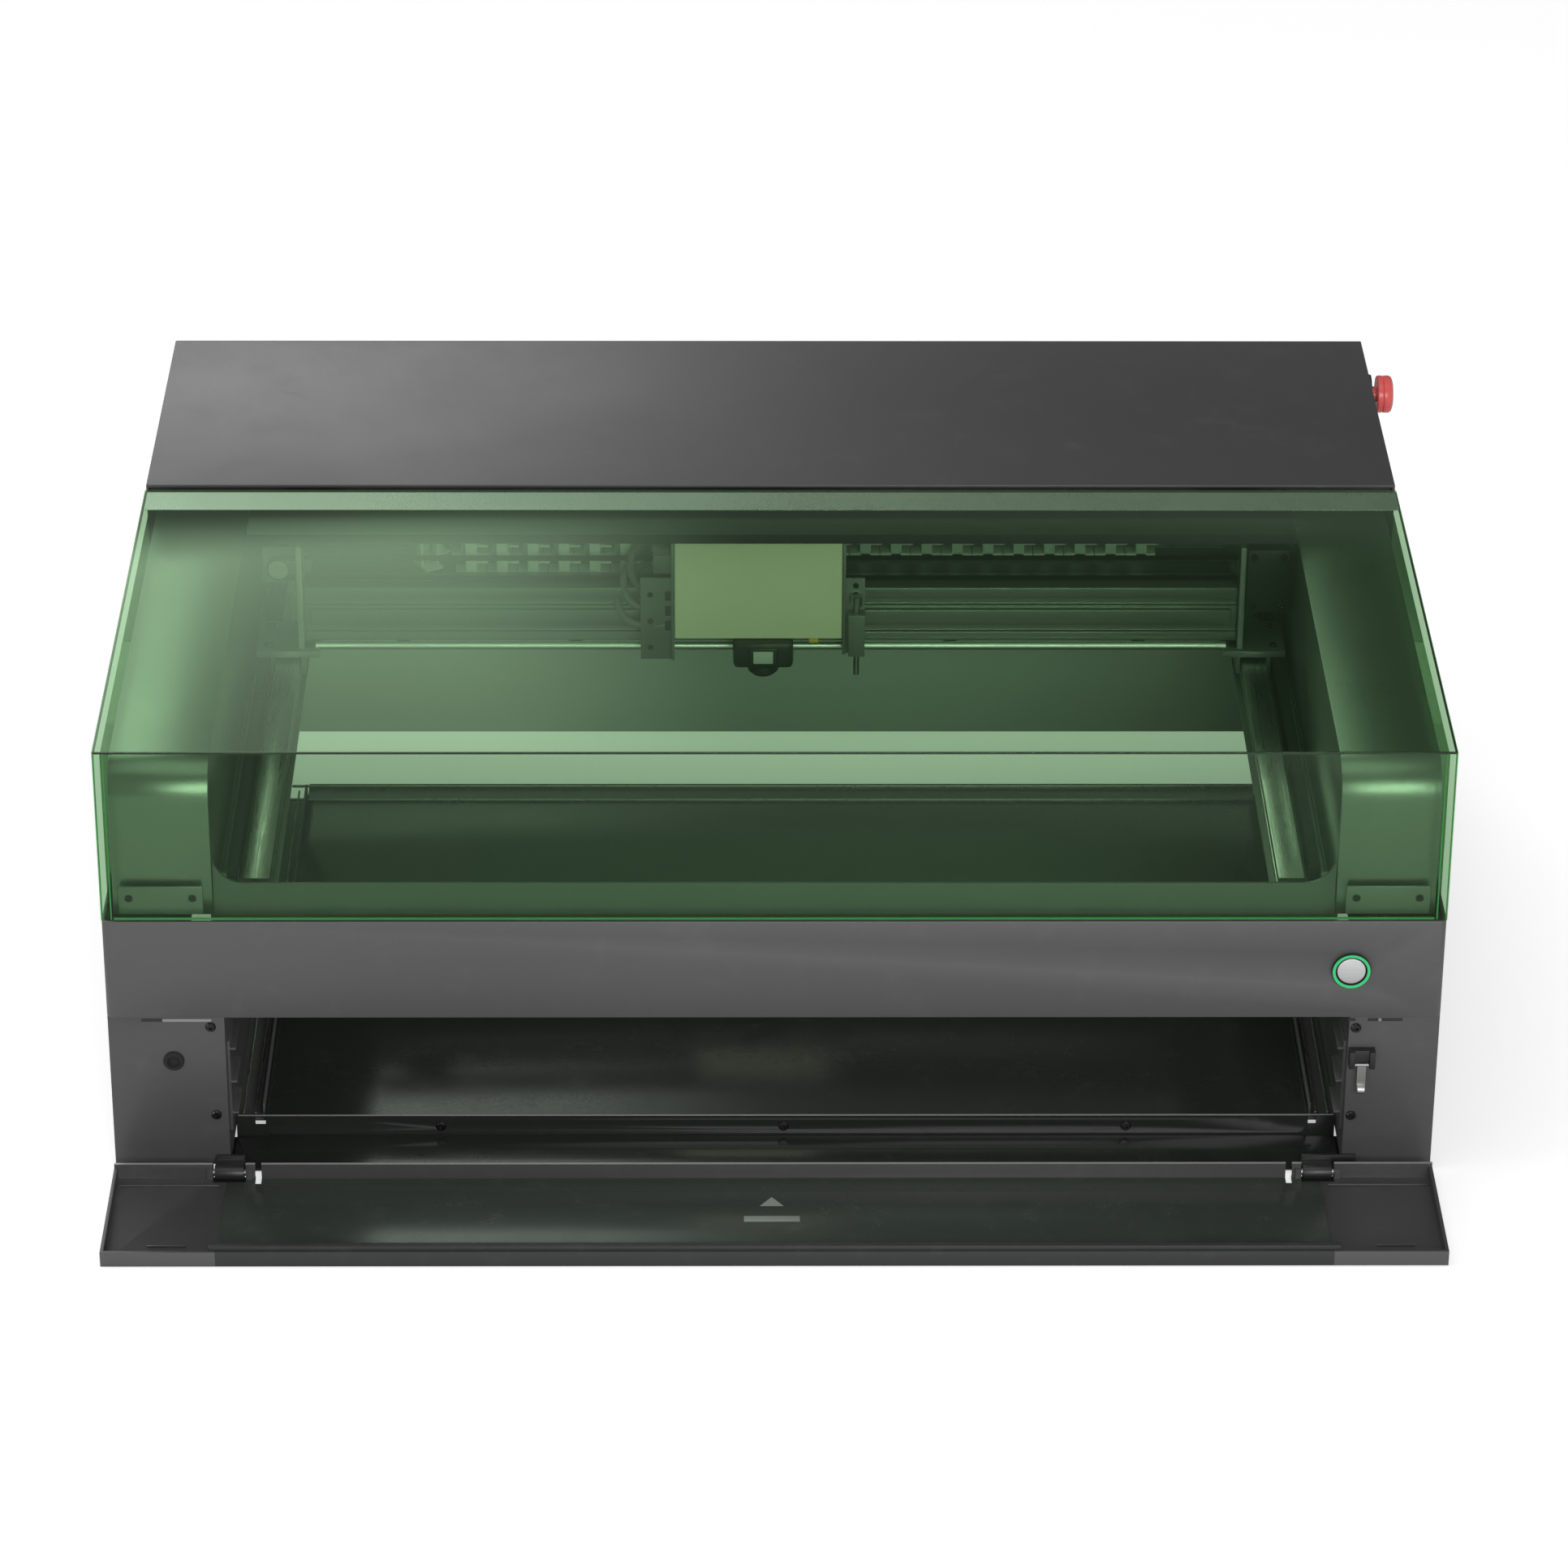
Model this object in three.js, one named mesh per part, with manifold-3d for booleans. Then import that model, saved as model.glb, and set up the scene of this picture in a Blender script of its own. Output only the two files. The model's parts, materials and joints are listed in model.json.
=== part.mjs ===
// A desktop laser cutter: a sheet-metal case on a raised base, a tinted lid hinged at the rear, a front flap
// that folds down, and a gantry that carries the laser head. Millimetres, +Z up, the front faces -Y.
// Inside the model group x = 0 is the middle of the case, y = 0 its front face and z = 0 the table.
import * as THREE from "three";
import { mergeVertices } from "three/addons/utils/BufferGeometryUtils.js";
import Module from "manifold-3d";

const wasm = await Module();
wasm.setup();

// ---- driving dimensions ----
const caseWidth = 765;
const caseDepth = 570;
const caseHeight = 277;
const sheet = 2; // folded sheet metal
const gap = 0.3; // between pieces that touch
const footHeight = 4;
const bandBottom = 104.8; // lower edge of the front fascia
const lidBottom = 168.7; // lower edge of the lid
const coverDepth = 221.2; // from the seam behind the lid to the back of the case
const chamberInset = 63.5; // from the case's side to the chamber's side wall
const rearBay = 91; // from the chamber's rear wall to the back of the case
const leftPostWidth = 67;
const rightPostWidth = 52;
const postFront = 3.5;
const postSheetRear = 29.5; // the posts' inner walls stop this far before the rear wall

const half = caseWidth / 2;
const seamY = caseDepth - coverDepth;
const chamberHalf = half - chamberInset;
const rearWallY = caseDepth - rearBay;
const innerFace = { left: -half + leftPostWidth, right: half - rightPostWidth };
const postTop = bandBottom - gap;
const backPanelY = caseDepth - sheet;

const lidThick = 4;
const lidTravel = 0.6; // running gap round the lid
const lidPivot = { y: seamY - 9.3, z: caseHeight - 8.4 };
const lidPin = 2; // radius
const lidEye = 3.8; // radius
const lidHingeX = chamberHalf - 29;
const lidKnuckleHalf = 9;
const fasciaTop = lidBottom - lidTravel;

const trayTop = 15;
const trayFront = 39;
const trayRear = rearWallY - 29;
const traySide = { left: -chamberHalf + 21.3, right: chamberHalf - 5 };
const trayHoleX = [-195, 6, 207];
const apron = { front: 1.2, rear: 36, side: 0.8, neck: 20, bottom: 0.8, top: 2.8 }; // in front of the tray

const flapReach = 93; // from the pivot to the free edge
const flapPivot = { y: -7, z: 5 };
const flapSheet = 2;
const flapRim = 10; // height of the rim above the table when the flap lies open
const flapWall = 12; // height of the wall beside the hinge
const flapBarHalf = half - 61.5;
const flapBarTop = 12.4;
const flapPin = 2;
const flapKnuckle = { x: half - leftPostWidth, half: 8.5, r: 4.7 };
const flapSlot = { inset: 15, width: 3.6 }; // open slots in the wall, inside the hinges

const railTop = 177;
const railWidth = 15;
const railX = chamberHalf - 22.5;
const railFront = 35;
const railRear = rearWallY - 24;
const shelfTop = 163; // the folded shelf under each rail
const beltRadius = 6.4; // inside of a belt where it wraps a pulley
const beltThick = 0.8;
const beltWidth = 6;
const yBeltX = chamberHalf - 8;
const yBeltZ = 171.5;
const yIdlerY = 48;
const yShaftY = rearWallY - 14;

const beamHalf = railX - 10.5;
const beam = { front: seamY - 30.8, rear: seamY - 8.8, bottom: 186, top: 222 };
const endPlate = 3.6;
const carriageLength = 42;
const xPulleyX = beamHalf + 16;
const xBeltZ = 229.7;
const xBeltY = beam.rear - 10;

const headX = -8; // middle of the laser head
const plate = { half: 51, front: beam.front - 16, thick: 3, bottom: 195.3, top: 264.2 };
const nozzle = { half: 18.4, bottom: 171.3 };
const probeRadius = 1.8;
const chain = {
  bottom: 219,
  top: 246,
  width: 12,
  front: beam.rear + 2,
  turnX: 86 - beamHalf,
  turnR: 7,
  headX: headX - 52,
  fixedX: beamHalf - 46,
};

const buttonX = half - 53.1;
const buttonZ = 136.3;
const buttonCap = 8.4;
const buttonTravel = 1.6;
const stop = { y: caseDepth - 40, z: caseHeight - 21, cap: 12, out: half + 17.5 };
const stopTravel = 3.2;

const fan = { x: half - 152.5, size: 120, thick: 25, z: 170, bore: 56 };
const inlet = { x: 62.5 - half, z: 135, w: 27, h: 20 };
const supply = { x0: -190, x1: 10, front: rearWallY + 13, depth: 64, height: 38 };
const board = { x0: 28, x1: 140, front: rearWallY + 15, depth: 60 };
const shelfZ = bandBottom + 0.5;

// ---- shapes ----
function solid(geometry) {
  const g = geometry.index ? geometry.clone() : mergeVertices(geometry);
  g.deleteAttribute("normal");
  g.deleteAttribute("uv");
  const m = mergeVertices(g, 1e-4);
  return new wasm.Manifold(
    new wasm.Mesh({
      numProp: 3,
      vertProperties: m.getAttribute("position").array,
      triVerts: new Uint32Array(m.index.array),
    }),
  );
}

function box(x0, x1, y0, y1, z0, z1) {
  const g = new THREE.BoxGeometry(x1 - x0, y1 - y0, z1 - z0);
  return solid(g.translate((x0 + x1) / 2, (y0 + y1) / 2, (z0 + z1) / 2));
}

// A cylinder along axis "x", "y" or "z", from a to b; u and v are its centre on the other two axes in order.
function rod(axis, r, a, b, u, v, sides = 24) {
  const g = new THREE.CylinderGeometry(r, r, b - a, sides);
  const mid = (a + b) / 2;
  if (axis === "x") g.rotateZ(-Math.PI / 2).translate(mid, u, v);
  if (axis === "y") g.translate(u, mid, v);
  if (axis === "z") g.rotateX(Math.PI / 2).translate(u, v, mid);
  return solid(g);
}

function flat(points) {
  return new THREE.Shape(points.map(([a, b]) => new THREE.Vector2(a, b)));
}

// An outline drawn on one plane and pulled along the axis it leaves out, from a to b.
function pull(axis, shape, a, b, curveSegments = 8) {
  const g = new THREE.ExtrudeGeometry(shape, { depth: b - a, bevelEnabled: false, curveSegments });
  if (axis === "z") g.translate(0, 0, a);
  if (axis === "y") g.rotateX(Math.PI / 2).translate(0, b, 0); // drawn as x, z
  if (axis === "x") g.rotateY(Math.PI / 2).rotateX(Math.PI / 2).translate(a, 0, 0); // drawn as y, z
  return solid(g);
}

// A box whose X ends may come in either order, for pieces that are mirrored left and right.
const slab = (xa, xb, y0, y1, z0, z1) => box(Math.min(xa, xb), Math.max(xa, xb), y0, y1, z0, z1);

const join = (...parts) => parts.reduce((a, b) => a.add(b));
const cut = (a, ...tools) => tools.reduce((s, t) => s.subtract(t), a);

// ---- scene ----
const model = new THREE.Group();
const finish = (color, roughness, metalness = 0, opacity = 1) =>
  new THREE.MeshStandardMaterial({ color, roughness, metalness, opacity, transparent: opacity < 1 });
const black = finish(0x3c3d3c, 0.55, 0.3);
const dark = finish(0x242524, 0.5, 0.2);
const steel = finish(0xb8b8b4, 0.35, 0.9);
const champagne = finish(0xddc99a, 0.4, 0.8);
const green = finish(0x5c9c62, 0.08, 0, 0.45);
const rubber = finish(0x181818, 0.9);
const red = finish(0xc81e22, 0.4);
const boardGreen = finish(0x1f5a38, 0.6);

function add(name, shape, material) {
  const m = shape.getMesh();
  const g = new THREE.BufferGeometry();
  g.setAttribute("position", new THREE.BufferAttribute(new Float32Array(m.vertProperties), 3));
  g.setIndex(new THREE.BufferAttribute(new Uint32Array(m.triVerts), 1));
  g.computeVertexNormals();
  const mesh = new THREE.Mesh(g, material);
  mesh.name = name;
  model.add(mesh);
}

// ---- base ----
// Each side of the base is one folded sheet: the outer wall, the front post face and the inner wall. The inner
// wall carries three ledges for a work plate and a guide channel beside the floor tray.
const ledgeHeights = [33, 54, 76];
const ledgeReach = 5;
const guide = { front: trayFront + 6, rear: trayRear - 10, bottom: 8, top: 20 };
function baseSide(side, postWidth, trayEdge) {
  const out = side * half;
  const inner = side * (half - postWidth);
  const postRear = rearWallY - postSheetRear;
  const ledges = ledgeHeights.map((z) => slab(inner, inner - side * ledgeReach, 12, 40, z, z + 1.5));
  const guideTo = trayEdge + side * 0.5;
  return join(
    slab(out, out - side * sheet, postFront, caseDepth - 2.5, footHeight, postTop),
    slab(out, inner, postFront, postFront + sheet, footHeight, postTop),
    slab(inner, inner + side * sheet, postFront, postRear, footHeight, postTop),
    slab(inner, inner - side * 1.5, 12, 40, 22, 82),
    ...ledges,
    slab(inner, guideTo, guide.front, guide.rear, guide.bottom, guide.bottom + sheet),
    slab(guideTo, guideTo + side * 1.5, guide.front, guide.rear, guide.bottom, guide.top),
  );
}
add("left_base_side", baseSide(-1, leftPostWidth, traySide.left), black);
add("right_base_side", baseSide(1, rightPostWidth, traySide.right), black);

// The floor tray stands on the table with its skirts down, and an apron runs forward from it to the flap.
const trayOuter = box(traySide.left, traySide.right, trayFront, trayRear, 0, trayTop);
const trayHollow = box(
  traySide.left + sheet,
  traySide.right - sheet,
  trayFront + sheet,
  trayRear - sheet,
  -1,
  trayTop - sheet,
);
const trayHoles = trayHoleX.map((x) => rod("y", 2, trayFront - 1, trayFront + sheet + 1, x, 8, 12));
const apronLeft = innerFace.left + apron.side;
const apronRight = innerFace.right - apron.side;
const trayApron = join(
  box(apronLeft, apronRight, apron.front, apron.rear, apron.bottom, apron.top),
  box(apronLeft + apron.neck, apronRight - apron.neck, apron.rear - 1, trayFront + sheet, apron.bottom, apron.top),
);
add("floor_tray", cut(join(trayOuter, trayApron), trayHollow, ...trayHoles), dark);

add("base_rear_panel", box(-half, half, backPanelY, caseDepth, 58, postTop), black);

// A rubber runner under each side wall.
for (const [name, side] of [["left", -1], ["right", 1]]) {
  const out = side * (half - 0.3);
  const foot = slab(out, out - side * 19.5, 20, caseDepth - 16, 0, footHeight - gap);
  add(name + "_foot", foot, rubber);
}

// ---- front fascia and chamber walls ----
const fasciaCorner = 4;
function roundedFront(width, depth, r) {
  const s = new THREE.Shape();
  s.moveTo(-width, depth);
  s.lineTo(-width, r);
  s.absarc(-width + r, r, r, Math.PI, 1.5 * Math.PI, false);
  s.lineTo(width - r, 0);
  s.absarc(width - r, r, r, 1.5 * Math.PI, 2 * Math.PI, false);
  s.lineTo(width, depth);
  s.closePath();
  return s;
}
const fasciaOuter = pull("z", roundedFront(half, seamY - lidTravel, fasciaCorner), bandBottom, fasciaTop, 4);
const fasciaHollow = roundedFront(half - sheet, seamY, fasciaCorner - sheet);
const fasciaInner = pull("z", fasciaHollow, bandBottom - 1, fasciaTop + 1, 3).translate(0, sheet, 0);
const barrelRadius = buttonCap + 1.2;
const buttonHole = rod("y", barrelRadius + gap, -1, sheet + 1, buttonX, buttonZ);
add("front_fascia", cut(fasciaOuter, fasciaInner, buttonHole), black);

const innerWallY = 8;
const innerWallTop = 188.5;
const corner = 18; // radius of the wall's turned-up ends
const frontWall = new THREE.Shape();
const wallHalf = chamberHalf - gap;
frontWall.moveTo(-wallHalf, bandBottom + gap);
frontWall.lineTo(wallHalf, bandBottom + gap);
frontWall.lineTo(wallHalf, innerWallTop + corner);
frontWall.absarc(wallHalf - corner, innerWallTop + corner, corner, 0, -Math.PI / 2, true);
frontWall.lineTo(-wallHalf + corner, innerWallTop);
frontWall.absarc(-wallHalf + corner, innerWallTop + corner, corner, -Math.PI / 2, -Math.PI, true);
frontWall.closePath();
add("front_inner_wall", pull("y", frontWall, innerWallY, innerWallY + sheet, 5), dark);

// Chamber walls: a sheet with a shelf folded inwards that carries the rail.
const wallFront = innerWallY + sheet + gap;
for (const [name, side] of [["left", -1], ["right", 1]]) {
  const a = side * chamberHalf;
  const wall = slab(a, a + side * sheet, wallFront, rearWallY - gap, bandBottom + gap, fasciaTop);
  const edge = side * (railX - railWidth / 2 - 3);
  const shelf = slab(a, edge, wallFront, rearWallY - gap, shelfTop - sheet, shelfTop);
  add(name + "_chamber_wall", join(wall, shelf), dark);
}

// Housings under the lid, each side of the chamber, rounded at their front top edge.
const housing = {
  outer: half - 6.5,
  front: 8,
  rear: rearWallY - gap,
  bottom: fasciaTop + gap,
  top: caseHeight - 15,
  r: 22,
};
function housingOutline(inset, bottom) {
  const r = housing.r - inset;
  const s = new THREE.Shape();
  s.moveTo(housing.front + inset, bottom);
  s.lineTo(housing.rear - inset, bottom);
  s.lineTo(housing.rear - inset, housing.top - inset);
  s.lineTo(housing.front + inset + r, housing.top - inset);
  s.absarc(housing.front + inset + r, housing.top - inset - r, r, Math.PI / 2, Math.PI, false);
  s.closePath();
  return s;
}
for (const [name, side] of [["left", -1], ["right", 1]]) {
  const x0 = side < 0 ? -housing.outer : chamberHalf + gap;
  const x1 = side < 0 ? -chamberHalf - gap : housing.outer;
  const outer = pull("x", housingOutline(0, housing.bottom), x0, x1, 6);
  const inner = pull("x", housingOutline(sheet, housing.bottom - 5), x0 + sheet, x1 - sheet, 6);
  add(name + "_housing", cut(outer, inner), dark);
}

// The rear wall of the chamber closes the housings, leaves a pass-through above the floor and is folded back
// into the shelf that holds the electronics.
const rearInner = half - sheet - gap;
const passThroughTop = 38;
const wallRear = rearWallY + sheet;
const wallTop = join(
  box(-rearInner, rearInner, rearWallY, wallRear, bandBottom + gap, housing.top),
  box(innerFace.left + gap, innerFace.right - gap, rearWallY, wallRear, passThroughTop, bandBottom + 1),
);
const electronicsShelf = box(-rearInner, rearInner, rearWallY, backPanelY - gap, shelfZ, shelfZ + sheet);
add("rear_wall", join(wallTop, electronicsShelf), dark);

// ---- rear cover and what it holds ----
const coverBottom = postTop + 2 * gap;
const slotCount = 9;
const slotPitch = (2 * fan.bore) / slotCount;
const fanSlots = Array.from({ length: slotCount }, (_, i) => {
  const dz = (i - (slotCount - 1) / 2) * slotPitch;
  const reach = Math.sqrt(fan.bore ** 2 - dz ** 2) - 3;
  return box(fan.x - reach, fan.x + reach, backPanelY - 1, caseDepth + 1, fan.z + dz - 2.6, fan.z + dz + 2.6);
});
const coverRound = new THREE.Shape();
const coverR = 5;
coverRound.moveTo(seamY, coverBottom);
coverRound.lineTo(caseDepth, coverBottom);
coverRound.lineTo(caseDepth, caseHeight - coverR);
coverRound.absarc(caseDepth - coverR, caseHeight - coverR, coverR, 0, Math.PI / 2, false);
coverRound.lineTo(seamY, caseHeight);
coverRound.closePath();
const coverShell = cut(
  pull("x", coverRound, -half, half, 5),
  box(-half + sheet, half - sheet, seamY - 1, backPanelY, coverBottom - 1, caseHeight - sheet),
);
const stopHole = rod("x", 8, half - sheet - 1, half + 1, stop.y, stop.z);
const inletHole = box(
  inlet.x - inlet.w / 2,
  inlet.x + inlet.w / 2,
  backPanelY - 1,
  caseDepth + 1,
  inlet.z - inlet.h / 2,
  inlet.z + inlet.h / 2,
);
add("rear_cover", cut(coverShell, stopHole, inletHole, ...fanSlots), black);

const deck = shelfZ + sheet + gap;
const supplyRear = supply.front + supply.depth;
const supplyCase = box(supply.x0, supply.x1, supply.front, supplyRear, deck, deck + supply.height);
const supplyTerminals = box(supply.x0 - 6, supply.x0, supply.front + 4, supplyRear - 4, deck, deck + 20);
add("power_supply", join(supplyCase, supplyTerminals), steel);

const boardLegs = [6, board.x1 - board.x0 - 6].flatMap((dx) =>
  [6, board.depth - 6].map((dy) => rod("z", 3, deck, deck + 7, board.x0 + dx, board.front + dy, 12)),
);
const chips = [
  { x: 24, y: 14, w: 24, d: 24, h: 6 },
  { x: 60, y: 12, w: 40, d: 10, h: 9 },
  { x: 60, y: 30, w: 40, d: 18, h: 4 },
];
add(
  "control_board",
  join(
    box(board.x0, board.x1, board.front, board.front + board.depth, deck + 6, deck + 8),
    ...boardLegs,
    ...chips.map((c) => {
      const x = board.x0 + c.x;
      const y = board.front + c.y;
      return box(x, x + c.w, y, y + c.d, deck + 7.5, deck + 8 + c.h);
    }),
  ),
  boardGreen,
);

const fanHalf = fan.size / 2;
const fanRear = backPanelY - gap;
const fanFront = fanRear - fan.thick;
const fanArms = [0, 1].map((i) =>
  box(fan.x - fan.bore - 1, fan.x + fan.bore + 1, fanFront, fanFront + 3, fan.z - 3, fan.z + 3)
    .translate(-fan.x, 0, -fan.z)
    .rotate(0, 45 + 90 * i, 0)
    .translate(fan.x, 0, fan.z),
);
add(
  "exhaust_fan_frame",
  join(
    cut(
      box(fan.x - fanHalf, fan.x + fanHalf, fanFront, fanRear, fan.z - fanHalf, fan.z + fanHalf),
      rod("y", fan.bore, fanFront - 1, fanRear + 1, fan.x, fan.z, 40),
    ),
    rod("y", 19, fanFront, fanFront + 3.5, fan.x, fan.z),
    ...fanArms,
  ),
  dark,
);

// Fan blades stand on a hub, tilted about their own radius. The rotor is drawn about the Y axis.
function rotor(count, hubR, tipR, length, tilt) {
  const blades = Array.from({ length: count }, (_, i) =>
    box(hubR - 1.5, tipR, -0.8, 0.8, -length * 0.62, length * 0.62)
      .rotate(tilt, 0, 0)
      .rotate(-90, 0, 0)
      .rotate(0, (360 / count) * i, 0),
  );
  return join(rod("y", hubR, -length / 2, length / 2, 0, 0), ...blades);
}
const exhaustRotor = rotor(7, 20, fan.bore - 3, 14, 40);
add("exhaust_rotor", exhaustRotor.translate(fan.x, fanFront + 3.5 + gap + 7, fan.z), dark);

// The mains inlet stands in its hole behind a flange, with a recess for the plug.
function socket(at, depth, lip) {
  const w = at.w / 2 - gap;
  const h = at.h / 2 - gap;
  const shell = join(
    box(at.x - w, at.x + w, caseDepth - depth, caseDepth + lip, at.z - h, at.z + h),
    box(at.x - w - 3, at.x + w + 3, caseDepth - 2 * sheet - 1, backPanelY - gap, at.z - h - 3, at.z + h + 3),
  );
  const front = caseDepth - depth + 3;
  return cut(shell, box(at.x - w + 2, at.x + w - 2, front, caseDepth + lip + 1, at.z - h + 2, at.z + h - 2));
}
add("power_inlet", socket(inlet, 22, -0.4), dark);

// ---- emergency stop on the right side ----
const stemR = 5;
const stopFlangeOut = half + 3.5;
const stopBody = join(
  rod("x", 7.6, half - 18, half + gap, stop.y, stop.z),
  rod("x", 12.6, half + gap, stopFlangeOut, stop.y, stop.z),
);
add("estop_body", cut(stopBody, rod("x", stemR + gap, half - 14, half + 5, stop.y, stop.z)), dark);
const capIn = stopFlangeOut + stopTravel + 0.4;
add(
  "estop_button",
  join(
    rod("x", stemR, half - 10, capIn + 1, stop.y, stop.z),
    rod("x", stop.cap, capIn, stop.out - 2.5, stop.y, stop.z, 32),
    rod("x", stop.cap - 1.6, stop.out - 3, stop.out, stop.y, stop.z, 32),
  ),
  red,
);

// ---- power button on the fascia ----
const barrelEnd = 9.8;
const bezel = join(
  rod("y", buttonCap + 2.8, -2.1, -gap, buttonX, buttonZ, 32),
  rod("y", barrelRadius, -gap - 0.5, barrelEnd, buttonX, buttonZ, 32),
);
const buttonWell = rod("y", buttonCap + 0.4, -4, barrelEnd - 2, buttonX, buttonZ, 32);
const buttonEnd = barrelEnd - 2 - buttonTravel - gap;
add("power_button_bezel", cut(bezel, buttonWell), steel);
add("power_button", rod("y", buttonCap, -1.9, buttonEnd, buttonX, buttonZ, 32), steel);

// ---- interlock switch on the right post ----
const switchX = half - 44.5;
const switchZ = 78;
add(
  "interlock_switch",
  join(
    box(switchX - 7, switchX + 8, -1.2, postFront - gap, switchZ - 2, switchZ + 5),
    box(switchX - 7, switchX - 3.8, -3.6, postFront - gap, switchZ - 6, switchZ + 5),
    box(switchX + 4.8, switchX + 8, -3.6, postFront - gap, switchZ - 6, switchZ + 5),
  ),
  dark,
);
const leverPivot = { y: -1.6, z: switchZ - 4 };
add(
  "interlock_lever",
  join(
    rod("x", 1, switchX - 3.4, switchX + 4.4, leverPivot.y, leverPivot.z, 12),
    box(switchX - 2, switchX + 3, leverPivot.y - 0.6, leverPivot.y + 0.4, leverPivot.z - 16, leverPivot.z),
    rod("x", 2.6, switchX - 1.5, switchX + 2.5, leverPivot.y - 1.2, leverPivot.z - 16, 16),
  ),
  steel,
);

// ---- front flap, lying open ----
const flapFront = flapPivot.y - flapReach;
const flapRear = flapPivot.y - 0.5;
const flapBottom = 0.6;
const flapFloor = flapBottom + flapSheet;
const flapHalf = half - 0.5;
const lug = { gapX: 1, width: 3.6, top: 9 };
function flapShape() {
  const parts = [
    box(-flapHalf, flapHalf, flapFront, flapRear, flapBottom, flapFloor),
    box(-flapHalf, flapHalf, flapFront, flapFront + flapSheet, flapBottom, flapRim),
    box(-flapHalf, -flapHalf + flapSheet, flapFront, flapRear, flapBottom, flapRim),
    box(flapHalf - flapSheet, flapHalf, flapFront, flapRear, flapBottom, flapRim),
    box(-flapHalf, flapHalf, flapRear - flapSheet, flapRear, flapBottom, flapWall),
  ];
  const cuts = [];
  for (const side of [-1, 1]) {
    const k = side * flapKnuckle.x;
    const reach = flapKnuckle.half + lug.gapX;
    for (const end of [-1, 1]) {
      const a = k + end * reach;
      const b = a + end * lug.width;
      parts.push(slab(a, b, flapPivot.y - 4, flapPivot.y + 3.4, flapBottom, lug.top));
    }
    cuts.push(box(k - reach, k + reach, flapPivot.y - 7, flapPivot.y + 9, -1, flapWall + 1));
    cuts.push(rod("x", flapPin + gap, k - 20, k + 20, flapPivot.y, flapPivot.z, 16));
    const s = k - side * flapSlot.inset;
    cuts.push(slab(s, s - side * flapSlot.width, flapRear - flapSheet - 6, flapRear + 1, -1, flapWall + 1));
  }
  return cut(join(...parts), ...cuts);
}
add("front_flap", flapShape(), dark);
const sealFront = flapFront + flapSheet + gap;
const sealBar = box(-flapBarHalf, flapBarHalf, sealFront, sealFront + 4.7, flapFloor + gap, flapBarTop);
add("flap_seal_bar", sealBar, black);
const flapPlateTop = 11;
for (const [name, side] of [["left", -1], ["right", 1]]) {
  const k = side * flapKnuckle.x;
  const x0 = k - flapKnuckle.half;
  const x1 = k + flapKnuckle.half;
  const arm = box(x0, x1, flapPivot.y, postFront - gap, 4.2, 8.6);
  // the hinge's plate reaches over the face of the post, which is further out on the right
  const postEdge = side < 0 ? innerFace.left - 8 : innerFace.right + 8;
  const plateUp = slab(k - side * flapKnuckle.half, postEdge, 0.8, postFront - gap, 4.2, flapPlateTop);
  const eye = rod("x", flapKnuckle.r - gap, x0, x1, flapPivot.y, flapPivot.z, 20);
  const bore = rod("x", flapPin + gap, k - 20, k + 20, flapPivot.y, flapPivot.z, 16);
  add(name + "_flap_hinge", cut(join(arm, plateUp, eye), bore), steel);
  const pinHalf = flapKnuckle.half + lug.gapX + lug.width;
  add(name + "_flap_pin", rod("x", flapPin, k - pinHalf, k + pinHalf, flapPivot.y, flapPivot.z, 16), steel);
}

// ---- lid ----
const lidRearY = seamY - lidTravel;
const lidR = lidRearY - lidPivot.y;
function lidOutline(inset) {
  const top = caseHeight - inset;
  const rise = top - lidPivot.z;
  const s = new THREE.Shape();
  s.moveTo(inset, lidBottom - inset);
  s.lineTo(lidRearY + inset, lidBottom - inset);
  if (inset) s.lineTo(lidRearY + inset, top);
  else {
    s.lineTo(lidRearY, lidPivot.z);
    s.absarc(lidPivot.y, lidPivot.z, lidR, 0, Math.asin(rise / lidR), false);
  }
  s.lineTo(inset, top);
  s.closePath();
  return s;
}
const lidOuter = pull("x", lidOutline(0), -half, half, 8);
const lidInner = pull("x", lidOutline(lidThick), -half + lidThick, half - lidThick, 8);
add("lid_shell", cut(lidOuter, lidInner), green);

// A stiffener under the lid's rear edge carries the lid's knuckles, and a rail under the rear cover carries the
// fixed ones; a pin joins each pair.
const lidInside = caseHeight - lidThick - gap;
const stiffener = { half: chamberHalf - 2, front: seamY - 60.8, rear: seamY - 15.8, lip: 6 };
const stiffenerFront = stiffener.front;
const stiffenerLip = lidInside - stiffener.lip;
const lidParts = [
  box(-stiffener.half, stiffener.half, stiffenerFront, stiffener.rear, lidInside - sheet, lidInside),
  box(-stiffener.half, stiffener.half, stiffenerFront, stiffenerFront + sheet, stiffenerLip, lidInside),
];
const railBottom = Math.max(plate.top + 2.3, housing.top + 4.5); // the head and the housings pass under it
const crankBottom = lidPivot.z - 10;
const railParts = [box(-rearInner, rearInner, seamY + 3, seamY + 16, railBottom, caseHeight - sheet - gap)];
const hingeBores = [];
const knuckleHalf = lidKnuckleHalf;
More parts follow.
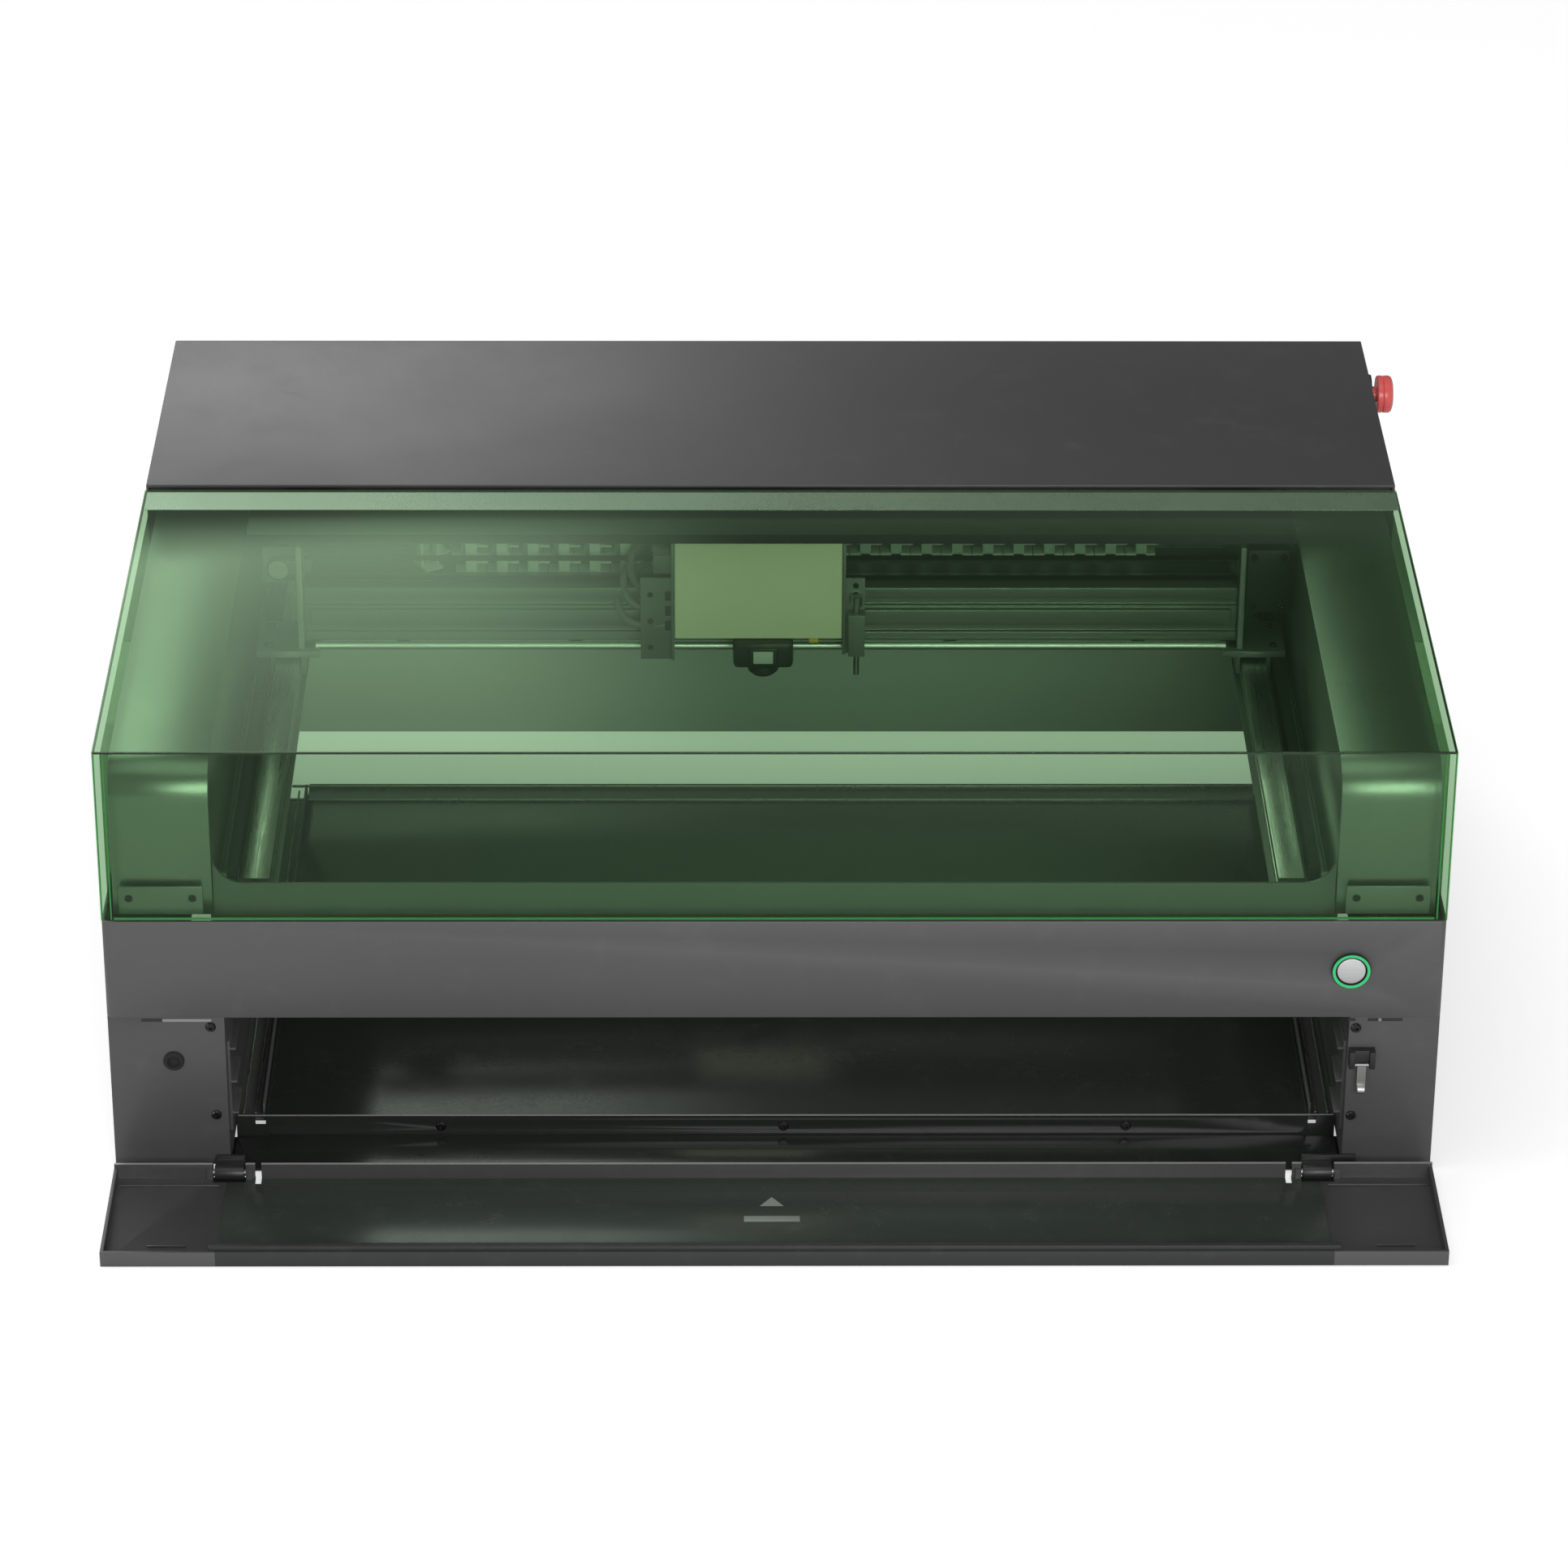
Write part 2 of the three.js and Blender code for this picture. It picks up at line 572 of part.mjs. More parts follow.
for (const [name, side] of [["left", -1], ["right", 1]]) {
  const x = side * lidHingeX;
  const lx = x - side * (2 * knuckleHalf + 1);
  hingeBores.push(rod("x", lidPin + gap, x - 40, x + 40, lidPivot.y, lidPivot.z, 16));
  railParts.push(
    rod("x", lidEye, x - knuckleHalf, x + knuckleHalf, lidPivot.y, lidPivot.z, 20),
    // a cranked arm, so that the lid's rear edge can swing down between its knuckle and the rail
    box(x - knuckleHalf, x + knuckleHalf, lidPivot.y - 3, lidPivot.y + 1, crankBottom, lidPivot.z),
    box(x - knuckleHalf, x + knuckleHalf, lidPivot.y - 3, seamY + 6, crankBottom, crankBottom + 3),
    box(x - knuckleHalf, x + knuckleHalf, seamY + 3, seamY + 6, crankBottom, railBottom + 1),
  );
  lidParts.push(
    rod("x", lidEye, lx - knuckleHalf, lx + knuckleHalf, lidPivot.y, lidPivot.z, 20),
    box(lx - knuckleHalf, lx + knuckleHalf, stiffener.rear - 1, lidPivot.y, lidPivot.z - 1, lidInside),
  );
  const pinMid = (x + lx) / 2;
  const pinHalf = 2 * knuckleHalf + 0.5;
  const pin = rod("x", lidPin, pinMid - pinHalf, pinMid + pinHalf, lidPivot.y, lidPivot.z, 16);
  add(name + "_lid_pin", pin, steel);
}
add("lid_stiffener", cut(join(...lidParts), ...hingeBores), dark);
add("hinge_rail", cut(join(...railParts), ...hingeBores), black);

// ---- Y rails, belts and drive shaft ----
function beltLoop(axis, a, b, level, r, thick) {
  const loop = (radius) => {
    const s = new THREE.Shape();
    s.absarc(a, level, radius, Math.PI / 2, 1.5 * Math.PI, false);
    s.absarc(b, level, radius, 1.5 * Math.PI, 2.5 * Math.PI, false);
    s.closePath();
    return s;
  };
  const shape = loop(r + thick);
  shape.holes.push(new THREE.Path(loop(r).getPoints(8).reverse()));
  return (from, to) => pull(axis, shape, from, to, 8);
}
const pulleyR = beltRadius - gap;
for (const [name, side] of [["left", -1], ["right", 1]]) {
  const x = side * railX;
  const groove = railWidth / 2 - 2.4;
  const rail = cut(
    box(x - railWidth / 2, x + railWidth / 2, railFront, railRear, shelfTop + gap, railTop),
    box(x + groove, x + railWidth, railFront - 1, railRear + 1, railTop - 8, railTop - 5),
    box(x - railWidth, x - groove, railFront - 1, railRear + 1, railTop - 8, railTop - 5),
  );
  add(name + "_y_rail", rail, steel);
  const bx = side * yBeltX;
  const yBelt = beltLoop("x", yIdlerY, yShaftY, yBeltZ, beltRadius, beltThick);
  add(name + "_y_belt", yBelt(bx - beltWidth / 2, bx + beltWidth / 2), rubber);
  const wall = side * (chamberHalf - gap);
  const idler = join(
    rod("x", pulleyR, bx - 3, bx + 3, yIdlerY, yBeltZ),
    rod("x", 2, Math.min(wall, bx), Math.max(wall, bx), yIdlerY, yBeltZ, 12),
  );
  add(name + "_y_idler", idler, steel);
}
const shaftEnd = chamberHalf - gap;
add(
  "y_drive_shaft",
  join(
    rod("x", 3, -shaftEnd, shaftEnd, yShaftY, yBeltZ, 16),
    ...[-1, 1].map((s) => rod("x", pulleyR, s * yBeltX - 3, s * yBeltX + 3, yShaftY, yBeltZ)),
    rod("x", 11, 195, 203, yShaftY, yBeltZ),
  ),
  steel,
);
// the motor turns the shaft through a short belt of its own; it hangs on the rear wall
const yMotor = box(204, 244, rearWallY - 42, rearWallY - gap, 196, 238);
const yMotorPulley = rod("x", 5, 195, 204.5, rearWallY - 21, 217, 16);
add("y_motor", join(yMotor, yMotorPulley), dark);

// ---- gantry ----
const pastBeam = beamHalf + 1;
const beamSlots = [192, 210].map((z) => box(-pastBeam, pastBeam, beam.front - 1, beam.front + 3, z, z + 5));
const beamCore = box(-pastBeam, pastBeam, beam.front + 5, beam.rear - 2, beam.bottom + 4, beam.top - 4);
const beamShell = box(-beamHalf, beamHalf, beam.front, beam.rear, beam.bottom, beam.top);
const headRail = box(-beamHalf + 4, beamHalf - 4, beam.front - 3.4, beam.front + 1, 198.5, 208.5);
add("gantry_beam", join(cut(beamShell, beamCore, ...beamSlots), headRail), dark);

const beltBack = xBeltY + beltWidth / 2 + 1;
const beamMid = (beam.front + beam.rear) / 2;
const carriageFront = beamMid - carriageLength / 2;
const carriageRear = beamMid + carriageLength / 2;
for (const [name, side] of [["left", -1], ["right", 1]]) {
  const x = side * railX;
  const roofTop = railTop + 6.5;
  const roof = box(x - 19.3, x + 19.3, carriageFront, carriageRear, railTop + 2.3, roofTop);
  const skirts = [-1, 1].map((s) => {
    const a = x + s * (railWidth / 2 + 0.6);
    return slab(a, a + s * 2.4, carriageFront, carriageRear, railTop - 9, railTop + 3);
  });
  const a = side * (beamHalf + gap);
  const upright = slab(a, a + side * endPlate, beam.front - 6, beam.rear, roofTop - 1, 252);
  // the belt runs through a window in the upright to a pulley that a rear plate carries
  const plateY = beltBack + gap;
  const pulleyPlate = slab(a, side * (xPulleyX + 10), plateY, plateY + sheet, xBeltZ - 12, xBeltZ + 12);
  const window = slab(a - side, a + side * (endPlate + 1), xBeltY - 4, beltBack, xBeltZ - 9, xBeltZ + 9);
  add(name + "_gantry_carriage", cut(join(roof, ...skirts, upright, pulleyPlate), window), dark);
}
// the X motor stands in front of the belt plane at the right end, its idler at the left end
const motorFront = beam.front - 6;
const pulleyY0 = xBeltY - beltWidth / 2;
add(
  "x_motor",
  box(beamHalf + gap + endPlate + gap, chamberHalf - 2, motorFront, pulleyY0 - gap, xBeltZ - 22, xBeltZ + 21),
  dark,
);
const xBelt = beltLoop("y", -xPulleyX, xPulleyX, xBeltZ, beltRadius, beltThick);
add("x_belt", xBelt(xBeltY - beltWidth / 2, xBeltY + beltWidth / 2), rubber);
for (const [name, side] of [["x_idler", -1], ["x_pulley", 1]])
  add(name, rod("y", pulleyR, xBeltY - beltWidth / 2, beltBack, side * xPulleyX, xBeltZ), steel);

const chainTrayHalf = beamHalf - 2;
const chainTrayTop = chain.bottom - 1.5;
add(
  "chain_tray",
  join(
    box(-chainTrayHalf, chainTrayHalf, beam.rear + gap, beam.rear + 44, chainTrayTop - 2.5, chainTrayTop),
    box(-chainTrayHalf, chainTrayHalf, beam.rear + gap, beam.rear + 2, 200, chainTrayTop),
  ),
  dark,
);
const chainRearY = chain.front + chain.width + 2 * chain.turnR;
const turn = new THREE.Shape();
const turnMid = (chain.front + chain.width + chainRearY) / 2;
turn.moveTo(chain.headX, chain.front);
turn.lineTo(chain.turnX, chain.front);
turn.absarc(chain.turnX, turnMid, chain.turnR + chain.width, -Math.PI / 2, Math.PI / 2, true);
turn.lineTo(chain.fixedX, chainRearY + chain.width);
turn.lineTo(chain.fixedX, chainRearY);
turn.lineTo(chain.turnX, chainRearY);
turn.absarc(chain.turnX, turnMid, chain.turnR, Math.PI / 2, -Math.PI / 2, false);
turn.lineTo(chain.headX, chain.front + chain.width);
turn.closePath();
add("drag_chain", pull("z", turn, chain.bottom, chain.top, 8), dark);

// ---- laser head ----
const hx0 = headX - plate.half;
const hx1 = headX + plate.half;
const bodyFront = plate.front + plate.thick + gap;
const bodyRear = beam.front - 3.4 - gap;
add("head_plate", box(hx0, hx1, plate.front, plate.front + plate.thick, plate.bottom, plate.top), champagne);
const overBelt = xBeltZ + beltRadius + beltThick + 1.2;
const bracketLeft = hx0 - gap;
const bracketRight = hx1 + gap;
const probe = { x: bracketRight + 8.7, y: plate.front - 1.5 };
const armX0 = chain.headX - 12;
add(
  "head_carriage",
  cut(
    join(
      box(hx0 + 3, hx1 - 3, bodyFront, bodyRear, plate.bottom, 240),
      box(hx0 + 3, hx1 - 3, bodyFront, beam.rear - 4, overBelt, 240.6),
      // the arm over the belt that takes the end of the drag chain
      box(armX0, hx0 + 6, bodyFront, bodyRear, overBelt, 250),
      box(armX0, chain.headX + 10, bodyFront, chain.front + chain.width, chain.top + 0.5, 250),
      // bent brackets each side of the plate
      box(bracketLeft - 2, bracketLeft, plate.front + 1, bodyRear, 180, 260),
      box(bracketLeft - 20.7, bracketLeft, plate.front + 3, plate.front + 5, 180, 235),
      box(bracketLeft - 1, hx0 + 4, bodyFront + 1, bodyRear, plate.bottom + 4, 235),
      box(bracketRight, bracketRight + 2, plate.front + 1, bodyRear, 184, 260),
      box(bracketRight, bracketRight + 13.7, plate.front + 3, plate.front + 5, 184, 235),
      box(hx1 - 4, bracketRight + 1, bodyFront + 1, bodyRear, plate.bottom + 4, 235),
      box(probe.x - 5, probe.x + 5, plate.front - 6, plate.front + 3.5, 186, 214),
    ),
    rod("z", probeRadius + gap, 180, 218, probe.x, probe.y, 16),
  ),
  dark,
);
const coolerTop = 252;
const moduleFanY = beam.front + 2.5;
const finPitch = (2 * plate.half - 42) / 11;
const fins = Array.from({ length: 12 }, (_, i) => {
  const x = hx0 + 20 + i * finPitch;
  return box(x, x + 1.6, bodyFront, beam.rear - 4, 243, coolerTop);
});
const fanBox = box(headX - 20, headX + 20, moduleFanY - 15, moduleFanY + 15, coolerTop - 1, 262.4);
const fanBore = rod("z", 13.6, coolerTop + 1.5, 264, headX, moduleFanY, 28);
add(
  "module_cooler",
  join(box(hx0 + 6, hx1 - 6, bodyFront, beam.rear - 4, 241, 244), ...fins, cut(fanBox, fanBore)),
  steel,
);
const moduleRotor = rotor(6, 6, 12.6, 6, 35).rotate(90, 0, 0);
add("module_rotor", moduleRotor.translate(headX, moduleFanY, coolerTop + 1.5 + gap + 3.2), dark);

const nozzleX = headX + 3;
const nozzleSides = [nozzleX - nozzle.half, nozzleX + nozzle.half];
add(
  "nozzle",
  join(
    box(...nozzleSides, plate.front - 4, bodyRear, nozzle.bottom + 6, plate.bottom - gap),
    rod("z", 11, nozzle.bottom, nozzle.bottom + 6.5, nozzleX, plate.front + 5, 24),
  ),
  dark,
);

add(
  "focus_probe",
  join(rod("z", probeRadius, 172, 222, probe.x, probe.y, 16), rod("z", 3.4, 219, 225, probe.x, probe.y, 16)),
  steel,
);

// The cable from the chain's end to the head's left bracket.
const cableRoute = new THREE.CatmullRomCurve3([
  new THREE.Vector3(chain.headX - 6, chain.front + 6, 252.6),
  new THREE.Vector3(chain.headX - 24, chain.front - 9, 254),
  new THREE.Vector3(chain.headX - 26, chain.front - 24, 249),
  new THREE.Vector3(chain.headX - 17, plate.front + 4, 236.9),
]);
const cableSection = new THREE.Shape();
cableSection.absarc(0, 0, 2.2, 0, 2 * Math.PI, false);
const cableOptions = { steps: 14, extrudePath: cableRoute, curveSegments: 5 };
add("head_cable", solid(new THREE.ExtrudeGeometry(cableSection, cableOptions)), rubber);

// The origin is the middle of the bounding box in plan, on the table.
model.position.set(-(stop.out - half) / 2, -(caseDepth + flapFront) / 2, 0);
const laserCutter = new THREE.Group();
laserCutter.add(model);
export default laserCutter;
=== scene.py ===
import bpy
import bmesh
import json
import math
from mathutils import Matrix, Vector

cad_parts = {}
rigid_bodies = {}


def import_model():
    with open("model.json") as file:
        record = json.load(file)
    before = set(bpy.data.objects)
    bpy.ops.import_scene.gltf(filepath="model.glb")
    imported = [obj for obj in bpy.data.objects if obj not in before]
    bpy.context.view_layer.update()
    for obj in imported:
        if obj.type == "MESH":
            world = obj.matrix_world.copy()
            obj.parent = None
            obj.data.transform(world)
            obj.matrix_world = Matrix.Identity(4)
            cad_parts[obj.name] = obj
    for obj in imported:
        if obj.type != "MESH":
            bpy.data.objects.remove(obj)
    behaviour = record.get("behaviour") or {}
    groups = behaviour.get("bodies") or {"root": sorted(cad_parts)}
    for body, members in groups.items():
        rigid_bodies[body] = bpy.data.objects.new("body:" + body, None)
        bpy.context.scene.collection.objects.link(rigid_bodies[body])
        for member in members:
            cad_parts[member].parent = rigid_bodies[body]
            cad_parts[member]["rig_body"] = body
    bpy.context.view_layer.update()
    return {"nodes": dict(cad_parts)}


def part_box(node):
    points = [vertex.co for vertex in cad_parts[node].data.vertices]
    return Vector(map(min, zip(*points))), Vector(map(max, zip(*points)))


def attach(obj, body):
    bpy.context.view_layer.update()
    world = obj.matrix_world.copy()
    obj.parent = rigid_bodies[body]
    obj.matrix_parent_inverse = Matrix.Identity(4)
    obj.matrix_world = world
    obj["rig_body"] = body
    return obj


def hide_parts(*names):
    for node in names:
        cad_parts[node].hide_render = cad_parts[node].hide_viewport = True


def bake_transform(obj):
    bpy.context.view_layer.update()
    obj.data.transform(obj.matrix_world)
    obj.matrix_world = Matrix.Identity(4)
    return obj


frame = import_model()
nodes = frame["nodes"]
print("frame loaded:", len(nodes), "nodes")

cameraView = {
    "place": (-0.03673, -3.0937, 1.7958),
    "pitch": 28.292,
    "yaw": 0.656,
    "roll": 0.300,
    "lens": 132.91,
}


def makeCamera(v):
    data = bpy.data.cameras.new("viewCamera")
    data.lens = v["lens"]
    data.clip_end = 30
    cam = bpy.data.objects.new("viewCamera", data)
    turn = Matrix.Rotation(math.radians(-v["yaw"]), 4, "Z")
    tilt = Matrix.Rotation(math.radians(90 - v["pitch"]), 4, "X")
    roll = Matrix.Rotation(math.radians(v["roll"]), 4, "Z")
    cam.matrix_world = Matrix.Translation(v["place"]) @ turn @ tilt @ roll
    bpy.context.scene.collection.objects.link(cam)
    bpy.context.scene.camera = cam


makeCamera(cameraView)

# pieces are drawn in millimetres: x from the middle of the case, y back from its front face, z up
# from the table
coverLow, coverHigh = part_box("rear_cover")
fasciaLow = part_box("front_fascia")[0]
toRow = Matrix.Translation(((coverLow.x + coverHigh.x) / 2, fasciaLow.y, 0)) @ Matrix.Scale(0.001, 4)
toMm = toRow.inverted()
halfCase = (coverHigh.x - coverLow.x) * 500


def nodeBox(name):
    low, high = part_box(name)
    return toMm @ low, toMm @ high


def link(tree, a, b):
    tree.links.new(a, b)


def setInput(tree, socket, value):
    if isinstance(value, (int, float, tuple)):
        socket.default_value = value
    else:
        link(tree, value, socket)


def mathNode(tree, operation, a, b, clamp=False):
    n = tree.nodes.new("ShaderNodeMath")
    n.operation = operation
    n.use_clamp = clamp
    setInput(tree, n.inputs[0], a)
    setInput(tree, n.inputs[1], b)
    return n.outputs[0]


def mapRange(tree, value, fromLow, fromHigh, toLow, toHigh, smooth=False):
    n = tree.nodes.new("ShaderNodeMapRange")
    if smooth:
        n.interpolation_type = "SMOOTHSTEP"
    link(tree, value, n.inputs["Value"])
    for name, v in zip(("From Min", "From Max", "To Min", "To Max"), (fromLow, fromHigh, toLow, toHigh)):
        setInput(tree, n.inputs[name], v)
    return n.outputs["Result"]


def mixColor(tree, factor, a, b):
    n = tree.nodes.new("ShaderNodeMix")
    n.data_type = "RGBA"
    for index, value in ((0, factor), (6, a), (7, b)):
        setInput(tree, n.inputs[index], value)
    return n.outputs[2]


def noiseNode(tree, coords, scale, detail=3.0, roughness=0.5):
    n = tree.nodes.new("ShaderNodeTexNoise")
    n.inputs["Detail"].default_value = detail
    n.inputs["Roughness"].default_value = roughness
    link(tree, coords, n.inputs["Vector"])
    setInput(tree, n.inputs["Scale"], scale)
    return n.outputs["Fac"]


def newGroup(name, inputs):
    g = bpy.data.node_groups.new(name, "ShaderNodeTree")
    for label, kind, value in inputs:
        s = g.interface.new_socket(name=label, in_out="INPUT", socket_type=kind)
        s.default_value = value
    for label, kind in (
        ("Color", "NodeSocketColor"), ("Roughness", "NodeSocketFloat"), ("Height", "NodeSocketFloat")
    ):
        g.interface.new_socket(name=label, in_out="OUTPUT", socket_type=kind)
    return g, g.nodes.new("NodeGroupInput"), g.nodes.new("NodeGroupOutput")


def makeCoatGroup():
    # powder coat and moulded plastic: a fine grain over slow drifts of tone and gloss, with a little dust
    g, i, o = newGroup(
        "coatGrain",
        [
            ("Color", "NodeSocketColor", (0.03, 0.03, 0.03, 1)),
            ("Drift", "NodeSocketFloat", 0.15),
            ("Roughness", "NodeSocketFloat", 0.45),
            ("Grain Scale", "NodeSocketFloat", 1400.0),
            ("Dust", "NodeSocketFloat", 0.04),
        ],
    )
    coords = g.nodes.new("ShaderNodeTexCoord").outputs["Object"]
    grain = noiseNode(g, coords, i.outputs["Grain Scale"], 2.0)
    slow = noiseNode(g, coords, 7.0, 4.0, 0.6)
    marks = noiseNode(g, coords, 45.0, 5.0, 0.7)
    dark = mixColor(g, 0.5, i.outputs["Color"], (0, 0, 0, 1))
    drift = mathNode(g, "MULTIPLY", mapRange(g, slow, 0.3, 0.7, 0.0, 1.0), i.outputs["Drift"])
    base = mixColor(g, drift, i.outputs["Color"], dark)
    dust = mathNode(g, "MULTIPLY", mapRange(g, marks, 0.55, 0.8, 0.0, 1.0), i.outputs["Dust"])
    link(g, mixColor(g, dust, base, (0.55, 0.54, 0.52, 1)), o.inputs["Color"])
    rough = mathNode(g, "ADD", i.outputs["Roughness"], mapRange(g, slow, 0.3, 0.7, -0.03, 0.03))
    rough = mathNode(g, "ADD", rough, mapRange(g, grain, 0.3, 0.7, -0.04, 0.04))
    link(g, mathNode(g, "ADD", rough, mapRange(g, marks, 0.5, 0.8, 0.0, 0.05), True), o.inputs["Roughness"])
    link(g, grain, o.inputs["Height"])
    return g


def makeBrushGroup():
    # brushed and turned metal: streaks stretched along one axis
    g, i, o = newGroup(
        "brushedStreaks",
        [
            ("Color", "NodeSocketColor", (0.6, 0.6, 0.58, 1)),
            ("Stretch", "NodeSocketVector", (20, 1200, 1200)),
            ("Roughness", "NodeSocketFloat", 0.3),
            ("Contrast", "NodeSocketFloat", 0.25),
        ],
    )
    coords = g.nodes.new("ShaderNodeTexCoord").outputs["Object"]
    stretch = g.nodes.new("ShaderNodeVectorMath")
    stretch.operation = "MULTIPLY"
    link(g, coords, stretch.inputs[0])
    link(g, i.outputs["Stretch"], stretch.inputs[1])
    streaks = noiseNode(g, stretch.outputs[0], 1.0, 3.0, 0.6)
    slow = noiseNode(g, coords, 30.0, 3.0)
    dark = mixColor(g, i.outputs["Contrast"], i.outputs["Color"], (0, 0, 0, 1))
    link(
        g,
        mixColor(g, mapRange(g, streaks, 0.3, 0.7, 0.0, 1.0), i.outputs["Color"], dark),
        o.inputs["Color"],
    )
    rough = mathNode(g, "ADD", i.outputs["Roughness"], mapRange(g, streaks, 0.3, 0.7, -0.07, 0.09))
    link(g, mathNode(g, "ADD", rough, mapRange(g, slow, 0.3, 0.7, -0.03, 0.03), True), o.inputs["Roughness"])
    link(g, streaks, o.inputs["Height"])
    return g


coatGroup = makeCoatGroup()
brushGroup = makeBrushGroup()


def newMaterial(name):
    m = bpy.data.materials.new(name)
    m.use_nodes = True
    m.node_tree.nodes.clear()
    out = m.node_tree.nodes.new("ShaderNodeOutputMaterial")
    return m, m.node_tree, out


def surfaceFromGroup(name, group, values, bump, distance, metallic=0.0, emission=None):
    m, t, out = newMaterial(name)
    p = t.nodes.new("ShaderNodeBsdfPrincipled")
    p.inputs["Metallic"].default_value = metallic
    g = t.nodes.new("ShaderNodeGroup")
    g.node_tree = group
    for key, value in values.items():
        g.inputs[key].default_value = value
    link(t, g.outputs["Color"], p.inputs["Base Color"])
    link(t, g.outputs["Roughness"], p.inputs["Roughness"])
    if emission:
        link(t, g.outputs["Color"], p.inputs["Emission Color"])
        p.inputs["Emission Strength"].default_value = emission
    b = t.nodes.new("ShaderNodeBump")
    b.inputs["Strength"].default_value = bump
    b.inputs["Distance"].default_value = distance
    link(t, g.outputs["Height"], b.inputs["Height"])
    link(t, b.outputs["Normal"], p.inputs["Normal"])
    link(t, p.outputs[0], out.inputs["Surface"])
    return m


def coat(name, color, roughness, drift=0.15, dust=0.03, scale=1400.0, bump=0.25, metallic=0.0, emission=None):
    values = {
        "Color": (*color, 1),
        "Drift": drift,
        "Roughness": roughness,
        "Grain Scale": scale,
        "Dust": dust,
    }
    return surfaceFromGroup(name, coatGroup, values, bump, 0.0002, metallic, emission)


def brushed(name, color, roughness, stretch, contrast=0.25, bump=0.15):
    values = {"Color": (*color, 1), "Stretch": stretch, "Roughness": roughness, "Contrast": contrast}
    return surfaceFromGroup(name, brushGroup, values, bump, 0.0001, metallic=1.0)


def tintedSheet(name, through, inside, haze, hazeShare):
    # clear tinted sheet: what is behind shows through the tint, and gloss and a little haze lie on
    # its outside
    m, t, out = newMaterial(name)
    clear = t.nodes.new("ShaderNodeBsdfTransparent")
    path = t.nodes.new("ShaderNodeLightPath")
    link(t, mixColor(t, path.outputs["Is Camera Ray"], (*inside, 1), (*through, 1)), clear.inputs["Color"])
    shine = t.nodes.new("ShaderNodeBsdfGlossy")
    shine.inputs["Roughness"].default_value = 0.06
    shine.inputs["Color"].default_value = (0.42, 0.63, 0.4, 1)
    p = t.nodes.new("ShaderNodeBsdfPrincipled")
    p.inputs["Roughness"].default_value = 0.3
    coords = t.nodes.new("ShaderNodeTexCoord").outputs["Object"]
    cloud = mapRange(t, noiseNode(t, coords, 9.0), 0.35, 0.65, 0.0, 0.3)
    link(t, mixColor(t, cloud, (*haze, 1), (*[c * 1.4 for c in haze], 1)), p.inputs["Base Color"])
    fresnel = t.nodes.new("ShaderNodeFresnel")
    fresnel.inputs["IOR"].default_value = 1.49
    facing = t.nodes.new("ShaderNodeNewGeometry").outputs["Backfacing"]
    gloss = mathNode(t, "MULTIPLY", fresnel.outputs[0], mathNode(t, "SUBTRACT", 1.0, facing))
    glossy = t.nodes.new("ShaderNodeMixShader")
    link(t, gloss, glossy.inputs[0])
    link(t, clear.outputs[0], glossy.inputs[1])
    link(t, shine.outputs[0], glossy.inputs[2])
    mix = t.nodes.new("ShaderNodeMixShader")
    mix.inputs[0].default_value = hazeShare
    link(t, glossy.outputs[0], mix.inputs[1])
    link(t, p.outputs[0], mix.inputs[2])
    link(t, mix.outputs[0], out.inputs["Surface"])
    return m


blackCoat = coat("blackCoat", (0.078, 0.078, 0.078), 0.38)
darkCoat = coat("darkCoat", (0.022, 0.023, 0.022), 0.38, dust=0.02)
# the black paint of blackCoat made lighter: painted light on the front band
fasciaCoat = coat("fasciaCoat", (0.094, 0.094, 0.094), 0.38)
bandCoat = coat("bandCoat", (0.5, 0.54, 0.5), 0.3, drift=0.1, metallic=0.9)
housingCoat = coat("housingCoat", (0.34, 0.36, 0.34), 0.32, drift=0.1, metallic=0.9)
wallCoat = coat("wallCoat", (0.66, 0.69, 0.66), 0.45, drift=0.1, metallic=0.2)
# the black paint of blackCoat made darker: painted shade on the top of the rear cover
coverCoat = coat("coverCoat", (0.058, 0.058, 0.058), 0.38)
gantryCoat = coat("gantryCoat", (0.25, 0.26, 0.25), 0.35, drift=0.1, metallic=0.5)
# a darker copy of gantryCoat: painted shade on the front inner wall, also used on the chain tray
innerCoat = coat("innerCoat", (0.15, 0.16, 0.15), 0.35, drift=0.1, metallic=0.5)
trayCoat = coat("trayCoat", (0.022, 0.024, 0.022), 0.17, dust=0.015, scale=900.0, bump=0.08)
flapCoat = coat("flapCoat", (0.055, 0.056, 0.055), 0.4)
flapGloss = coat("flapGloss", (0.04, 0.049, 0.041), 0.22, bump=0.1)
flapEdge = coat("flapEdge", (0.032, 0.033, 0.033), 0.45)
flapEnd = coat("flapEnd", (0.1, 0.1, 0.1), 0.4)
# pale paint for painted highlight lines along edges
paintedHighlightLine = coat("paintedHighlightLine", (0.3, 0.3, 0.3), 0.35, dust=0.0)
edgeSteel = brushed("brushedSteel", (0.62, 0.62, 0.6), 0.3, (1200, 30, 1200))
brightSteel = brushed("brightSteel", (0.9, 0.91, 0.89), 0.42, (12, 900, 900), contrast=0.1)
zinc = brushed("zincPlate", (0.5, 0.5, 0.48), 0.35, (300, 300, 300), contrast=0.15)
blackScrew = brushed("blackScrew", (0.06, 0.06, 0.06), 0.3, (500, 500, 500), contrast=0.2)
capMetal = brushed("capMetal", (0.8, 0.8, 0.81), 0.4, (60, 1500, 1500), contrast=0.12)
alloy = brushed("anodisedAlloy", (0.42, 0.43, 0.43), 0.38, (40, 900, 900), contrast=0.2)
champagne = coat("champagneAlloy", (1.0, 0.91, 0.74), 0.4, drift=0.03, dust=0.0, bump=0.1)
beltRubber = coat("beltRubber", (0.012, 0.012, 0.012), 0.75, scale=2200.0)
softRubber = coat("softRubber", (0.014, 0.014, 0.014), 0.85, scale=900.0, dust=0.06)
